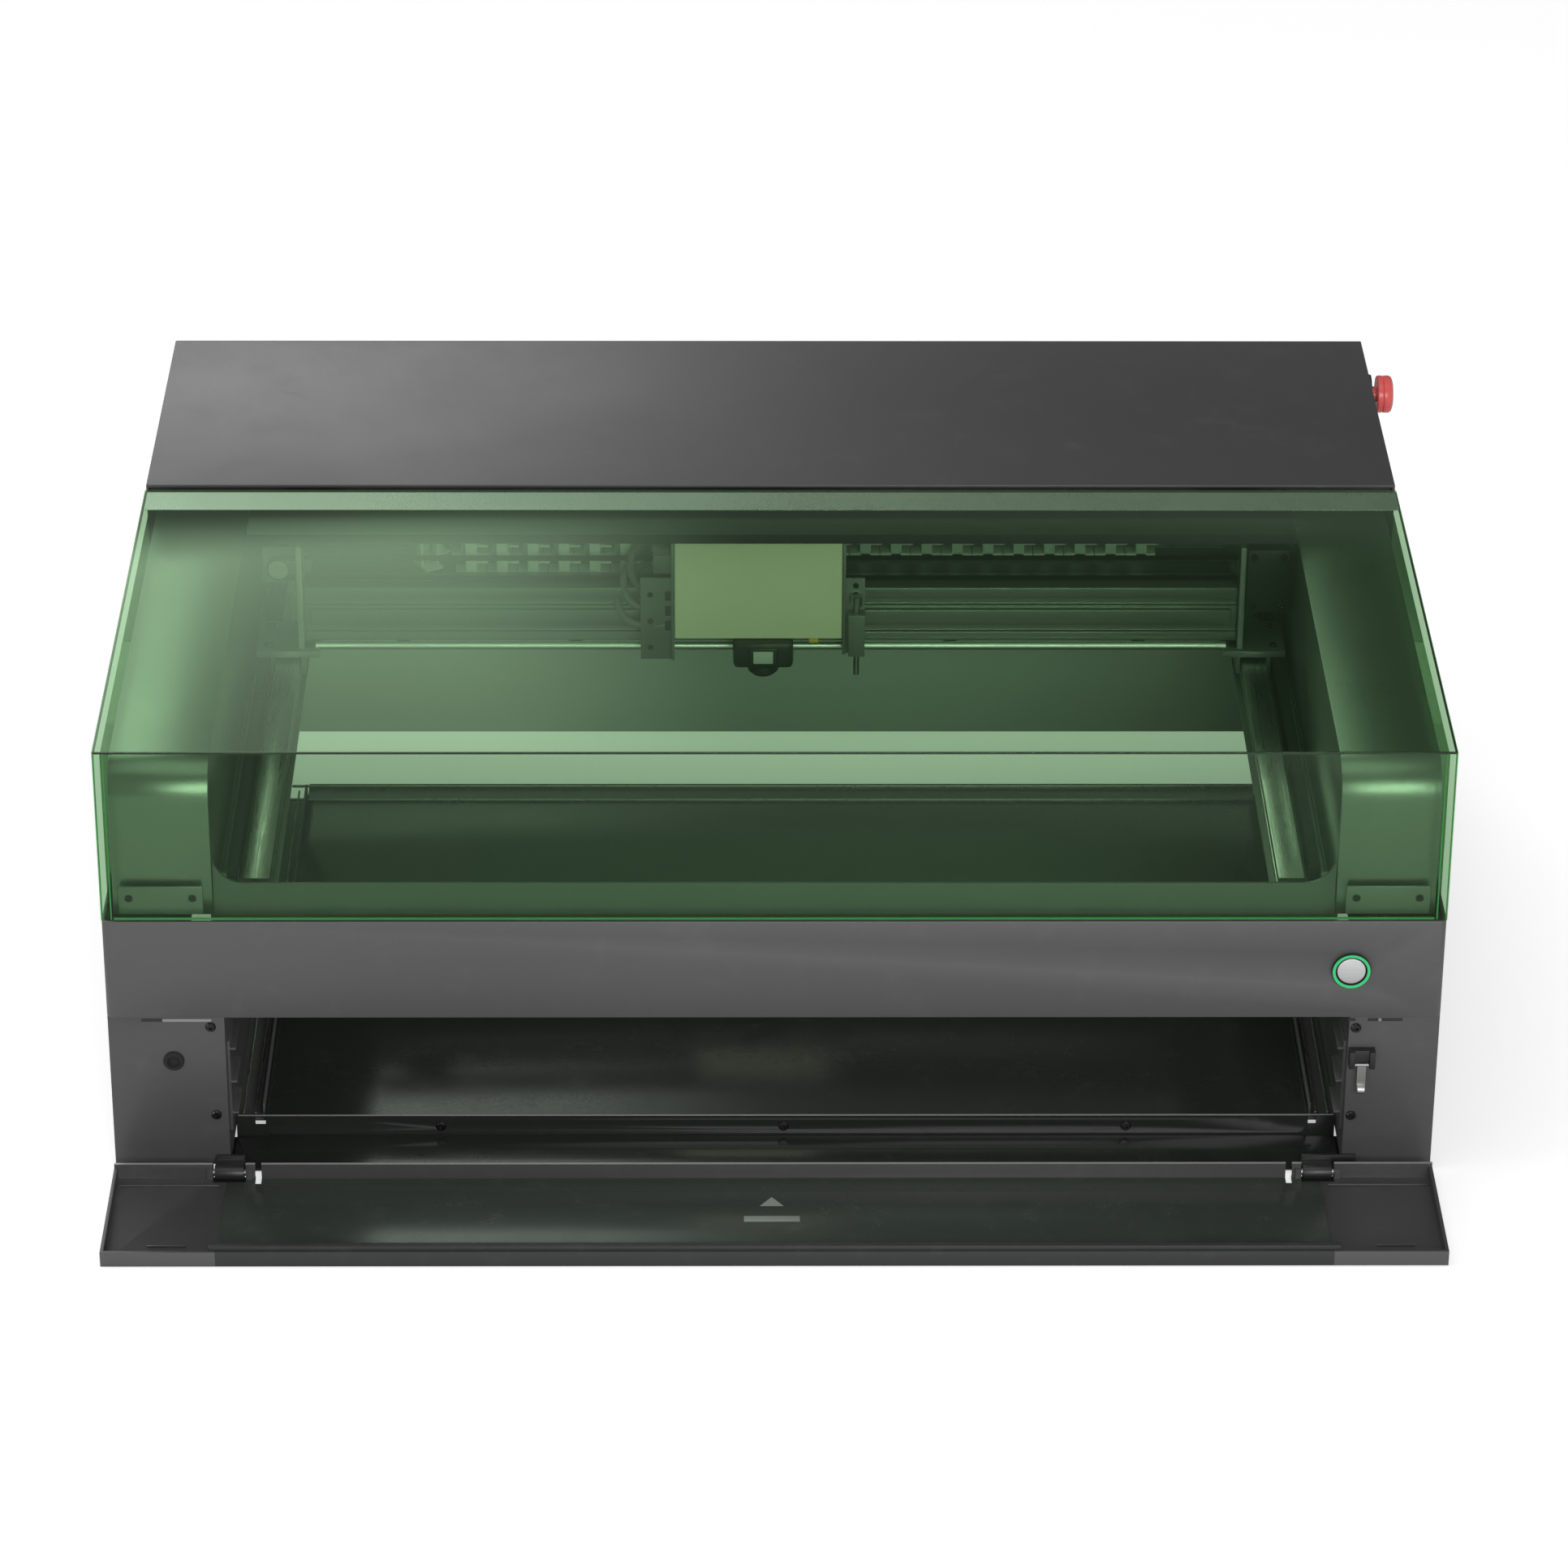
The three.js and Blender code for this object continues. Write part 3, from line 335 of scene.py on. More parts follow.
darkPlastic = coat("darkPlastic", (0.02, 0.02, 0.021), 0.5, scale=1800.0)
chainPlastic = coat("chainPlastic", (0.62, 0.64, 0.62), 0.42, scale=1500.0)
cableSkin = coat("cableSkin", (0.2, 0.21, 0.2), 0.32, dust=0.0)
markPrint = coat("markPrint", (0.24, 0.27, 0.24), 0.5, dust=0.0)
redPlastic = coat("redPlastic", (0.85, 0.13, 0.12), 0.28, drift=0.1, dust=0.0, bump=0.06)
yellowPlastic = coat("yellowPlastic", (0.75, 0.5, 0.05), 0.4, dust=0.0)
solderMask = coat("solderMask", (0.01, 0.09, 0.035), 0.3, drift=0.3, scale=700.0, bump=0.1)
ringGlow = coat("ringGlow", (0.03, 0.5, 0.17), 0.35, drift=0.35, dust=0.0, emission=0.4)
paintedEdgeHighlight = coat("paintedEdgeHighlight", (0.03, 0.22, 0.05), 0.25, dust=0.0, emission=0.35)
edgeDark = coat("edgeDark", (0.008, 0.02, 0.01), 0.3, dust=0.0)
lidTint = tintedSheet("greenAcrylic", (0.6, 0.75, 0.59), (0.94, 1.0, 0.94), (0.05, 0.13, 0.05), 0.035)
print("materials made:", len(bpy.data.materials))

nodeFinish = {
    "left_base_side": blackCoat,
    "right_base_side": blackCoat,
    "base_rear_panel": blackCoat,
    "front_fascia": fasciaCoat,
    "rear_cover": coverCoat,
    "flap_seal_bar": flapEdge,
    "hinge_rail": darkCoat,
    "floor_tray": trayCoat,
    "front_inner_wall": innerCoat,
    "left_chamber_wall": gantryCoat,
    "right_chamber_wall": gantryCoat,
    "left_housing": housingCoat,
    "right_housing": housingCoat,
    "rear_wall": wallCoat,
    "front_flap": flapCoat,
    "lid_stiffener": darkCoat,
    "gantry_beam": gantryCoat,
    "left_gantry_carriage": gantryCoat,
    "right_gantry_carriage": gantryCoat,
    "chain_tray": innerCoat,
    "head_carriage": gantryCoat,
    "nozzle": darkCoat,
    "module_cooler": alloy,
    "head_plate": champagne,
    "power_supply": zinc,
    "power_button_bezel": darkPlastic,
    "power_button": capMetal,
    "interlock_lever": zinc,
    "interlock_switch": darkPlastic,
    "left_flap_hinge": darkCoat,
    "right_flap_hinge": darkCoat,
    "left_flap_pin": zinc,
    "right_flap_pin": zinc,
    "left_lid_pin": zinc,
    "right_lid_pin": zinc,
    "left_y_rail": edgeSteel,
    "right_y_rail": edgeSteel,
    "y_drive_shaft": zinc,
    "left_y_idler": alloy,
    "right_y_idler": alloy,
    "x_idler": alloy,
    "x_pulley": alloy,
    "focus_probe": zinc,
    "lid_shell": lidTint,
    "left_foot": softRubber,
    "right_foot": softRubber,
    "left_y_belt": beltRubber,
    "right_y_belt": beltRubber,
    "x_belt": beltRubber,
    "head_cable": softRubber,
    "exhaust_fan_frame": darkPlastic,
    "exhaust_rotor": darkPlastic,
    "power_inlet": darkPlastic,
    "estop_body": darkPlastic,
    "y_motor": darkPlastic,
    "x_motor": darkPlastic,
    "drag_chain": chainPlastic,
    "module_rotor": darkPlastic,
    "estop_button": redPlastic,
    "control_board": solderMask,
}
for name, material in nodeFinish.items():
    nodes[name].data.materials.clear()
    nodes[name].data.materials.append(material)


def addBlock(bm, low, high, soften=0.0, turn=None):
    size = [b - a for a, b in zip(low, high)]
    middle = Vector([(a + b) / 2 for a, b in zip(low, high)])
    shape = Matrix.Translation(middle) @ (turn or Matrix.Identity(4)) @ Matrix.Diagonal((*size, 1))
    verts = bmesh.ops.create_cube(bm, size=1, matrix=shape)["verts"]
    if soften:
        edges = list({e for v in verts for e in v.link_edges})
        bmesh.ops.bevel(
            bm, geom=edges, offset=soften, segments=2, profile=0.5, affect="EDGES", clamp_overlap=True, material=-1
        )


axisTurns = {
    "x": Matrix.Rotation(math.pi / 2, 4, "Y"),
    "y": Matrix.Rotation(-math.pi / 2, 4, "X"),
    "z": Matrix.Identity(4),
}


def spinProfile(bm, points, place, axis, steps=24):
    # points are (radius, height) pairs along the named axis, from place
    shape = Matrix.Translation(place) @ (axisTurns[axis] if isinstance(axis, str) else axis)
    old = set(bm.verts)
    verts = [bm.verts.new(shape @ Vector((r, 0, h))) for r, h in points]
    edges = [bm.edges.new(pair) for pair in zip(verts, verts[1:])]
    bmesh.ops.spin(
        bm,
        geom=verts + edges,
        cent=shape.translation,
        axis=shape.to_3x3() @ Vector((0, 0, 1)),
        angle=math.tau,
        steps=steps,
        use_merge=True,
    )
    bmesh.ops.remove_doubles(bm, verts=[v for v in bm.verts if v not in old], dist=1e-4)


def addRod(bm, axis, radius, start, end, across, soften=0.3, steps=20):
    place = {"x": (start, *across), "y": (across[0], start, across[1]), "z": (*across, start)}[axis]
    length = end - start
    s = math.copysign(soften, length)
    points = [
        (0, 0),
        (radius - soften, 0),
        (radius, s),
        (radius, length - s),
        (radius - soften, length),
        (0, length),
    ]
    spinProfile(bm, points, place, axis, steps)


def addScrew(bm, place, out, radius=2.6, height=1.5):
    # a pan head with a round socket
    turn = Vector(out).to_track_quat("Z", "Y").to_matrix().to_4x4()
    socket = radius * 0.45
    points = [
        (0, height * 0.3),
        (socket, height * 0.3),
        (socket, height),
        (radius * 0.75, height),
        (radius, height * 0.5),
        (radius, 0),
        (0, 0),
    ]
    spinProfile(bm, points, place, turn, 12)


def addTube(bm, points, radius):
    data = bpy.data.curves.new("tubePath", "CURVE")
    data.dimensions = "3D"
    data.bevel_depth = radius
    data.bevel_resolution = 3
    data.use_fill_caps = True
    data.resolution_u = 8
    spline = data.splines.new("NURBS")
    spline.points.add(len(points) - 1)
    for p, place in zip(spline.points, points):
        p.co = (*place, 1)
    spline.order_u = 4
    spline.use_endpoint_u = True
    holder = bpy.data.objects.new("tubePath", data)
    mesh = bpy.data.meshes.new_from_object(holder)
    bm.from_mesh(mesh)
    bpy.data.meshes.remove(mesh)
    bpy.data.objects.remove(holder)
    bpy.data.curves.remove(data)


def finishPiece(name, bm, material, body=None, replaced=(), smoothAngle=35, closed=True):
    if closed:
        bmesh.ops.recalc_face_normals(bm, faces=bm.faces)
    for e in bm.edges:
        e.smooth = len(e.link_faces) == 2 and e.calc_face_angle() < math.radians(smoothAngle)
    for f in bm.faces:
        f.smooth = True
    bm.transform(toRow)
    mesh = bpy.data.meshes.new(name)
    bm.to_mesh(mesh)
    bm.free()
    mesh.materials.append(material)
    piece = bpy.data.objects.new(name, mesh)
    bpy.context.scene.collection.objects.link(piece)
    if body:
        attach(piece, body)
    if replaced:
        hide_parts(*replaced)
    return piece


# folded, cut and moulded nodes shown with their edges taken off, in millimetres
softEdges = {
    "left_base_side": 0.5,
    "right_base_side": 0.5,
    "base_rear_panel": 0.5,
    "front_fascia": 0.6,
    "rear_cover": 0.6,
    "floor_tray": 0.8,
    "front_flap": 0.5,
    "flap_seal_bar": 0.8,
    "front_inner_wall": 0.6,
    "left_housing": 0.5,
    "right_housing": 0.5,
    "lid_shell": 0.6,
    "head_plate": 0.6,
    "head_carriage": 0.4,
    "module_cooler": 0.3,
    "gantry_beam": 0.6,
    "left_gantry_carriage": 0.4,
    "right_gantry_carriage": 0.4,
    "chain_tray": 0.4,
    "x_motor": 1.5,
    "y_motor": 1.2,
    "left_y_rail": 0.4,
    "right_y_rail": 0.4,
    "power_supply": 0.6,
    "power_inlet": 0.4,
    "exhaust_fan_frame": 0.5,
    "interlock_switch": 0.3,
    "left_flap_hinge": 0.4,
    "right_flap_hinge": 0.4,
    "left_foot": 1.0,
    "right_foot": 1.0,
}

mergeGap = 0.002
flatAngle = math.radians(1)
sharpAngle = math.radians(35)


flapPaint = {"half": 317.0, "wallHigh": 11.0, "wallY": -20.0, "lipDeep": 3.0}


def paintFlap(bm, f):
    # the sunk middle, its front lip and the lip's ends each get their own colour, and the top of the rear wall
    # gets a painted highlight
    low, half = nodeBox("front_flap")[0].y, f["half"]
    for x, out in ((-half, (-1, 0, 0)), (half, (1, 0, 0))):
        bmesh.ops.bisect_plane(
            bm, geom=bm.verts[:] + bm.edges[:] + bm.faces[:], plane_co=(x, 0, 0), plane_no=out
        )
    bm.normal_update()
    for face in bm.faces:
        c, n = face.calc_center_median(), face.normal
        if n.y < -0.7 and c.y < low + f["lipDeep"]:
            face.material_index = 2 if abs(c.x) < half else 3
        elif n.z > 0.7 and c.z > f["wallHigh"] and c.y > f["wallY"]:
            face.material_index = 4
        elif abs(c.x) < half and c.y < f["wallY"]:
            face.material_index = 1


def softenNode(node, width):
    bm = bmesh.new()
    bm.from_mesh(nodes[node].data)
    bm.transform(toMm)
    bmesh.ops.remove_doubles(bm, verts=bm.verts, dist=mergeGap)
    bmesh.ops.dissolve_limit(bm, angle_limit=flatAngle, verts=bm.verts, edges=bm.edges)
    sharp = [e for e in bm.edges if len(e.link_faces) == 2 and e.calc_face_angle() > sharpAngle]
    bmesh.ops.bevel(
        bm, geom=sharp, offset=width, segments=2, profile=0.5, affect="EDGES", clamp_overlap=True, material=-1
    )
    words = node.split("_")
    name = words[0] + "".join(w.capitalize() for w in words[1:])
    body = nodes[node]["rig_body"]
    if node == "front_flap":
        paintFlap(bm, flapPaint)
    piece = finishPiece(name, bm, nodeFinish[node], body, [node], smoothAngle=25, closed=False)
    if node == "front_flap":
        for finish in (flapGloss, flapEdge, flapEnd, paintedHighlightLine):
            piece.data.materials.append(finish)
    if node in screwSeats:
        drillSeats(piece, screwSeats[node])


# countersunk screws: middle of each head on the outside, and the way it faces
caseBack = (toMm @ coverHigh).y
screwSeats = {
    "rear_cover": {
        "out": (0, 1, 0),
        "at": [(x, caseBack, z) for x in (-362, -120, 90, 362) for z in (116, 264)],
    },
    "base_rear_panel": {"out": (0, 1, 0), "at": [(x, caseBack, 70) for x in (-362, -120, 120, 362)]},
    "left_base_side": {
        "out": (-1, 0, 0), "at": [(-halfCase, y, z) for y in (60, 300, 520) for z in (24, 86)]
    },
    "right_base_side": {"out": (1, 0, 0), "at": [(halfCase, y, z) for y in (60, 300, 520) for z in (24, 86)]},
}
seatShape = {"radius": 3.6, "depth": 1.3, "head": 3.2}


def drillSeats(piece, seats):
    out = Vector(seats["out"])
    turn = out.to_track_quat("Z", "Y").to_matrix().to_4x4()
    r, deep, head = seatShape["radius"], seatShape["depth"], seatShape["head"]
    cutter = bmesh.new()
    heads = bmesh.new()
    for place in seats["at"]:
        spinProfile(cutter, [(0, -deep), (head, -deep), (r, -0.2), (r, 1), (0, 1)], place, turn, 24)
        cap = [
            (0, -deep + 0.4),
            (1.5, -deep + 0.4),
            (1.5, -0.35),
            (head - 0.5, -0.35),
            (head - 0.2, -0.6),
            (head - 0.2, -deep),
        ]
        spinProfile(heads, cap + [(0, -deep)], place, turn, 20)
    bmesh.ops.recalc_face_normals(cutter, faces=cutter.faces)
    cutter.transform(toRow)
    mesh = bpy.data.meshes.new("seatCutter")
    cutter.to_mesh(mesh)
    cutter.free()
    tool = bpy.data.objects.new("seatCutter", mesh)
    bpy.context.scene.collection.objects.link(tool)
    m = piece.modifiers.new("seats", "BOOLEAN")
    m.operation = "DIFFERENCE"
    m.object = tool
    m.solver = "EXACT"
    bpy.context.view_layer.update()
    drilled = bpy.data.meshes.new_from_object(piece.evaluated_get(bpy.context.evaluated_depsgraph_get()))
    piece.modifiers.clear()
    drilled.name = piece.name
    piece.data = drilled
    bpy.data.objects.remove(tool)
    finishPiece(piece.name + "Screws", heads, zinc, piece["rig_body"])


for node, width in softEdges.items():
    softenNode(node, width)
print("edges softened on", len(softEdges), "nodes")

lidLow, lidHigh = nodeBox("lid_shell")
lidTrim = {
    "thick": 4.0, "bandFront": 315.5, "bandRear": 346.0, "line": 1.1, "catchLow": 324.5, "catchHigh": 372.5
}


def makeLidTrim(t):
    side = lidHigh.x - t["thick"]
    bm = bmesh.new()
    addBlock(bm, (-side - 3, t["bandFront"], lidHigh.z - 1.2), (side + 3, t["bandRear"] - 6, lidHigh.z - 0.8))
    finishPiece("lidEdgeBand", bm, bandCoat, "lid")

    # the glued edges of the sheets: dark along the front and the top; the glowing lines up the corners and along
    # the lower front edge are painted highlight
    line = t["line"]
    x1, z1 = lidHigh.x - 0.35, lidHigh.z - 0.35
    bm = bmesh.new()
    addBlock(bm, (-x1, 0.4, z1 - line), (x1, 0.4 + line, z1))
    for side in (-1, 1):
        a, b = sorted((side * x1, side * (x1 - line)))
        addBlock(bm, (a, 1.6 + line, z1 - line), (b, t["bandFront"], z1))
        addBlock(bm, (a, t["bandFront"], z1 - line), (b, t["bandRear"] - 6, z1))
    finishPiece("lidEdgeLines", bm, edgeDark, "lid")
    # glowing lines up the front corners and along the lower front edge: painted highlight
    bm = bmesh.new()
    for side in (-1, 1):
        for inset in (0, 5.2):
            a, b = sorted((side * (x1 - inset), side * (x1 - inset - 0.8)))
            addBlock(bm, (a, 0.5, lidLow.z + 0.5), (b, 1.2, z1 - line - 0.5))
    addBlock(bm, (-x1 + 7, 0.5, lidLow.z + 0.4), (x1 - 7, 1.5, lidLow.z + 1.5))
    finishPiece("lidCornerHighlights", bm, paintedEdgeHighlight, "lid")

    plates = bmesh.new()
    screws = bmesh.new()
    y = t["thick"] + 0.3
    for side in (-1, 1):
        a, b = sorted((side * t["catchLow"], side * t["catchHigh"]))
        addBlock(plates, (a, y, 170.5), (b, y + 1.6, 188.5), 0.6)
        addBlock(plates, (a + 8, y + 1.2, 170.5), (b - 8, y + 3.2, 178), 0.6)
        for x in (a + 6, b - 6):
            addScrew(screws, (x, y + 0.02, 181), (0, -1, 0), 2.4, 0.28)
    finishPiece("lidCatches", plates, gantryCoat, "lid")
    finishPiece("lidCatchScrews", screws, blackScrew, "lid")


makeLidTrim(lidTrim)
print("lid trim made")

postLow = nodeBox("left_base_side")[0]
postParts = {
    "screws": [(-323.5, 97), (-322.5, 38), (334.5, 96), (334.5, 37)],
    "magnet": (-345.5, 74.5),
    "paintedLow": 100.4,
    "slotHigh": 102.2,
    "paintedShadeSpans": [(-363, -351.2), (329.5, 334), (341, 347), (349, 361)],
    "paintedHighlightSpans": [(-351, -323), (347.2, 348.8)],
}


def makePostParts(p):
    face = postLow.y
    bm = bmesh.new()
    for x, z in p["screws"]:
        addScrew(bm, (x, face, z), (0, -1, 0), 3.0, 1.8)
    finishPiece("postScrews", bm, blackScrew, "case")
    bm = bmesh.new()
    x, z = p["magnet"]
    rings = [(0, 1.2), (2.2, 1.2), (2.6, 0.8), (3.4, 0.8), (3.8, 2.2), (5.2, 2.2), (6, 1.4), (6, 0), (0, 0)]
    spinProfile(bm, rings, (x, face, z), Matrix.Rotation(math.pi / 2, 4, "X"), 28)
    finishPiece("postMagnet", bm, softRubber, "case")
    # under the band, thin dark spans are painted shade and pale spans painted highlight
    for name, spans, finish in (
        ("postPaintedShade", p["paintedShadeSpans"], darkCoat), ("postPaintedHighlight", p["paintedHighlightSpans"], paintedHighlightLine)
    ):
        bm = bmesh.new()
        for a, b in spans:
            addBlock(bm, (a, face - 0.3, p["paintedLow"]), (b, face - 0.02, p["slotHigh"]))
        finishPiece(name, bm, finish, "case")


makePostParts(postParts)
print("post parts made")

flapLow, flapHigh = nodeBox("front_flap")
flapParts = {
    "panelHalf": 317.0,
    "floor": 2.6,
    "panelRise": 0.7,
    "underplate": {"knuckle": 4.7, "half": 11.0, "front": 7.6, "rear": 1.5, "low": 0.1, "high": 0.5},
    "mark": {"x": -1.5, "y": -55.0, "size": 13.0, "pill": (32.0, 6.0)},
}


def makeFlapParts(p):
    top = p["floor"] + p["panelRise"]
    front = flapLow.y + 8.2
    rear = flapHigh.y - 22
    bm = bmesh.new()
    addBlock(bm, (-p["panelHalf"], front, p["floor"] + 0.05), (p["panelHalf"], rear, top), 0.3)
    finishPiece("flapPanel", bm, flapGloss, "flap")

    bm = bmesh.new()
    for side in (-1, 1):
        a, b = sorted((side * (flapHigh.x - 3), side * (p["panelHalf"] + 4)))
        addBlock(bm, (a, -19, p["floor"] + 0.05), (b, -18.2, p["floor"] + 1.2), 0.3)
        addBlock(
            bm, (a + 22, flapLow.y + 17, p["floor"] + 0.05), (b - 14, flapLow.y + 18, p["floor"] + 0.9), 0.3
        )
    finishPiece("flapRibs", bm, blackCoat, "flap")

    # thin dark plates under the notches round the hinges: painted shade over the floor there
    low, high = nodeBox("left_flap_hinge")
    u = p["underplate"]
    pivotY = low.y + u["knuckle"]
    bm = bmesh.new()
    for side in (-1, 1):
        middle = side * abs((low.x + high.x) / 2)
        addBlock(
            bm,
            (middle - u["half"], pivotY - u["front"], u["low"]),
            (middle + u["half"], pivotY + u["rear"], u["high"]),
        )
    finishPiece("hingePaintedShade", bm, flapEdge, "flap")

    # a plain arrowhead over a bar, pointing at the free edge's middle
    m = p["mark"]
    bm = bmesh.new()
    ring = bmesh.ops.create_circle(
        bm, cap_ends=True, segments=3, radius=m["size"] * 0.62, matrix=Matrix.Translation(
            (m["x"], m["y"] + 17, top + 0.05)
        )
    )
    bmesh.ops.scale(
        bm, vec=(1, 0.8, 1), verts=ring["verts"], space=Matrix.Translation((-m["x"], -m["y"] - 17, 0))
    )
    w, d = m["pill"]
    addBlock(
        bm, (m["x"] - w / 2, m["y"] - d / 2, top + 0.05), (m["x"] + w / 2, m["y"] + d / 2, top + 0.3), 0.1
    )
    finishPiece("flapMark", bm, markPrint, "flap", closed=False)


makeFlapParts(flapParts)
print("flap parts made")

trayLow, trayHigh = nodeBox("floor_tray")
trayParts = {
    "beadRear": [428.0, 446.5],
    "beadSides": 4.0,
    "beadHeight": 0.9,
    "screwX": [-195, 6, 207],
    "wallFrom": 0.012,
    "edgeWidth": 1.1,
    "edgeRise": 0.3,
    "screwZ": 8,
    "corners": ((0, 11, 14.7), (11, 20.4, 9.0)),
}


def makeTrayParts(p):
    bm = bmesh.new()
    x0, x1 = trayLow.x, trayHigh.x
    top = trayHigh.z
    for y in p["beadRear"]:
        addRod(bm, "x", p["beadHeight"], x0 + 6, x1 - 6, (y, top), 0.3, 10)
    for x in (x0 + p["beadSides"], x0 + p["beadSides"] + 7, x1 - p["beadSides"] - 7, x1 - p["beadSides"]):
        addRod(bm, "y", p["beadHeight"] * 0.8, 42, 440, (x, top), 0.3, 10)
    finishPiece("trayBeads", bm, edgeSteel, "case")

    # front wall: a painted highlight along its top edge, three screws, and plates that close most of its corners
    front = min((toMm @ v.co).y for v in nodes["floor_tray"].data.vertices if v.co.z > p["wallFrom"])
    bm = bmesh.new()
    addBlock(bm, (x0 + 1, front + 0.1, top), (x1 - 1, front + p["edgeWidth"], top + p["edgeRise"]))
    finishPiece("trayEdge", bm, paintedHighlightLine, "case")
    bm = bmesh.new()
    for x in p["screwX"]:
        addScrew(bm, (x, front, p["screwZ"]), (0, -1, 0), 3.0, 1.4)
    finishPiece("trayScrews", bm, blackScrew, "case")
    bm = bmesh.new()
    for edge, way in ((x0, 1), (x1, -1)):
        for near, far, rise in p["corners"]:
            a, b = sorted((edge + way * near, edge + way * far))
            addBlock(bm, (a, front + 0.1, 0.6), (b, front + 1.1, rise))
        a, b = sorted((edge - way * 3, edge + way * 2))
        addBlock(bm, (a, 4.2, 0.25), (b, front, 0.7))
    finishPiece("apronCorners", bm, trayCoat, "case")


makeTrayParts(trayParts)
print("tray parts made")

beamLow, beamHigh = nodeBox("gantry_beam")


def makeBeamParts():
    # a ground rod under the front of the beam, on two clips
    bm = bmesh.new()
    addRod(bm, "x", 2.6, beamLow.x + 6, beamHigh.x - 6, (beamLow.y + 1.2, beamLow.z - 2.2), 0.5, 20)
    finishPiece("beamRod", bm, brightSteel, "gantry")
    bm = bmesh.new()
    for x in (beamLow.x + 60, -120, 110, beamHigh.x - 60):
        addBlock(bm, (x - 4, beamLow.y + 4.2, beamLow.z - 3.4), (x + 4, beamLow.y + 8, beamLow.z + 0.2), 0.5)
    finishPiece("beamRodClips", bm, darkPlastic, "gantry")
    bm = bmesh.new()
    for node in ("left_gantry_carriage", "right_gantry_carriage"):
        low, high = nodeBox(node)
        for y in (low.y + 8, high.y - 8):
            for x in (low.x + 7, high.x - 7):
                addScrew(bm, (x, y, low.z + 15.5), (0, 0, 1), 2.6, 1.6)
    motorLow, motorHigh = nodeBox("x_motor")
    for x in (motorLow.x + 4.5, motorHigh.x - 4.5):
        for z in (motorLow.z + 5, motorHigh.z - 5):
            addScrew(bm, (x, motorLow.y, z), (0, -1, 0), 2.2, 1.2)
    finishPiece("gantryScrews", bm, blackScrew, "gantry")


makeBeamParts()
print("beam parts made")

chainLow, chainHigh = nodeBox("drag_chain")
chainFacts = {
    "pitch": 19.0,
    "width": 12.0,
    "turnX": chainLow.x + 19.0,
    "turnRadius": 13.0,
    "plate": 2.0,
    "wall": 1.4,
    "headEnd": -60.0,
    "frontStart": -350.0,
    "rearStart": 240.0,
    "rearEnd": -650.0,
    "middleZ": 230.0,
}


def addLink(bm, c, place):
    half = c["width"] / 2
    low, high = chainLow.z + 0.2, chainHigh.z - 0.2
    pitch = c["pitch"]
    parts = [
        ((-pitch * 0.56, -half, low), (pitch * 0.42, half, low + c["plate"])),
        ((-pitch * 0.56, -half, high - c["plate"]), (pitch * 0.42, half, high)),
        ((-4.2, -half, low), (2.6, -half + c["wall"], high)),
        ((-4.2, half - c["wall"], low), (2.6, half, high)),
        ((2.6, -half + 1.2, low + 7), (pitch * 0.5, -half + 1.9, low + 8.6)),
        ((2.6, -half + 1.2, high - 8.6), (pitch * 0.5, -half + 1.9, high - 7)),
    ]
    old = set(bm.verts)
    for a, b in parts:
        addBlock(bm, a, b, 0.35)
    bmesh.ops.transform(bm, matrix=place, verts=[v for v in bm.verts if v not in old])


def makeChain(c):
    frontY = chainLow.y + c["width"] / 2
    rearY = chainHigh.y - c["width"] / 2
    middleY = (frontY + rearY) / 2
    front = bmesh.new()
    headEnd = c["headEnd"]
    count = int((headEnd - c["turnX"]) / c["pitch"])
    for i in range(count):
        addLink(front, c, Matrix.Translation((headEnd - (i + 0.5) * c["pitch"], frontY, 0)))
    for i in range(2):
        angle = math.radians(-60 - 70 * i)
        x = c["turnX"] + math.sin(angle) * c["turnRadius"]
        y = middleY - math.cos(angle) * c["turnRadius"]
        addLink(front, c, Matrix.Translation((x, y, 0)) @ Matrix.Rotation(angle, 4, "Z"))
    front = finishPiece("chainFrontRun", front, chainPlastic)
    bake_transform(front)
    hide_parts("drag_chain")
    rear = bmesh.new()
    fixedEnd = chainHigh.x
    for i in range(int((fixedEnd - c["turnX"]) / c["pitch"])):
        addLink(rear, c, Matrix.Translation((fixedEnd - (i + 0.5) * c["pitch"], rearY, 0)))
    rear = finishPiece("chainRearRun", rear, chainPlastic)
    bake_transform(rear)
    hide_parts("drag_chain")


makeChain(chainFacts)
print("chain made")

plateLow, plateHigh = nodeBox("head_plate")
carrierLow = nodeBox("head_carriage")[0]
cableRuns = [
    [(-66, 348, 240), (-76, 343, 243), (-88, 332, 240), (-86, 318, 226), (-76, 309, 222), (-62, 307.5, 223)],
    [(-66, 349, 233), (-78, 342, 236), (-93, 328, 230), (-90, 314, 215), (-78, 307.5, 211), (-62, 307, 213)],
    [(-66, 350, 226), (-80, 343, 227), (-97, 326, 219), (-93, 312, 204), (-80, 307, 200), (-62, 306.8, 203)],
]


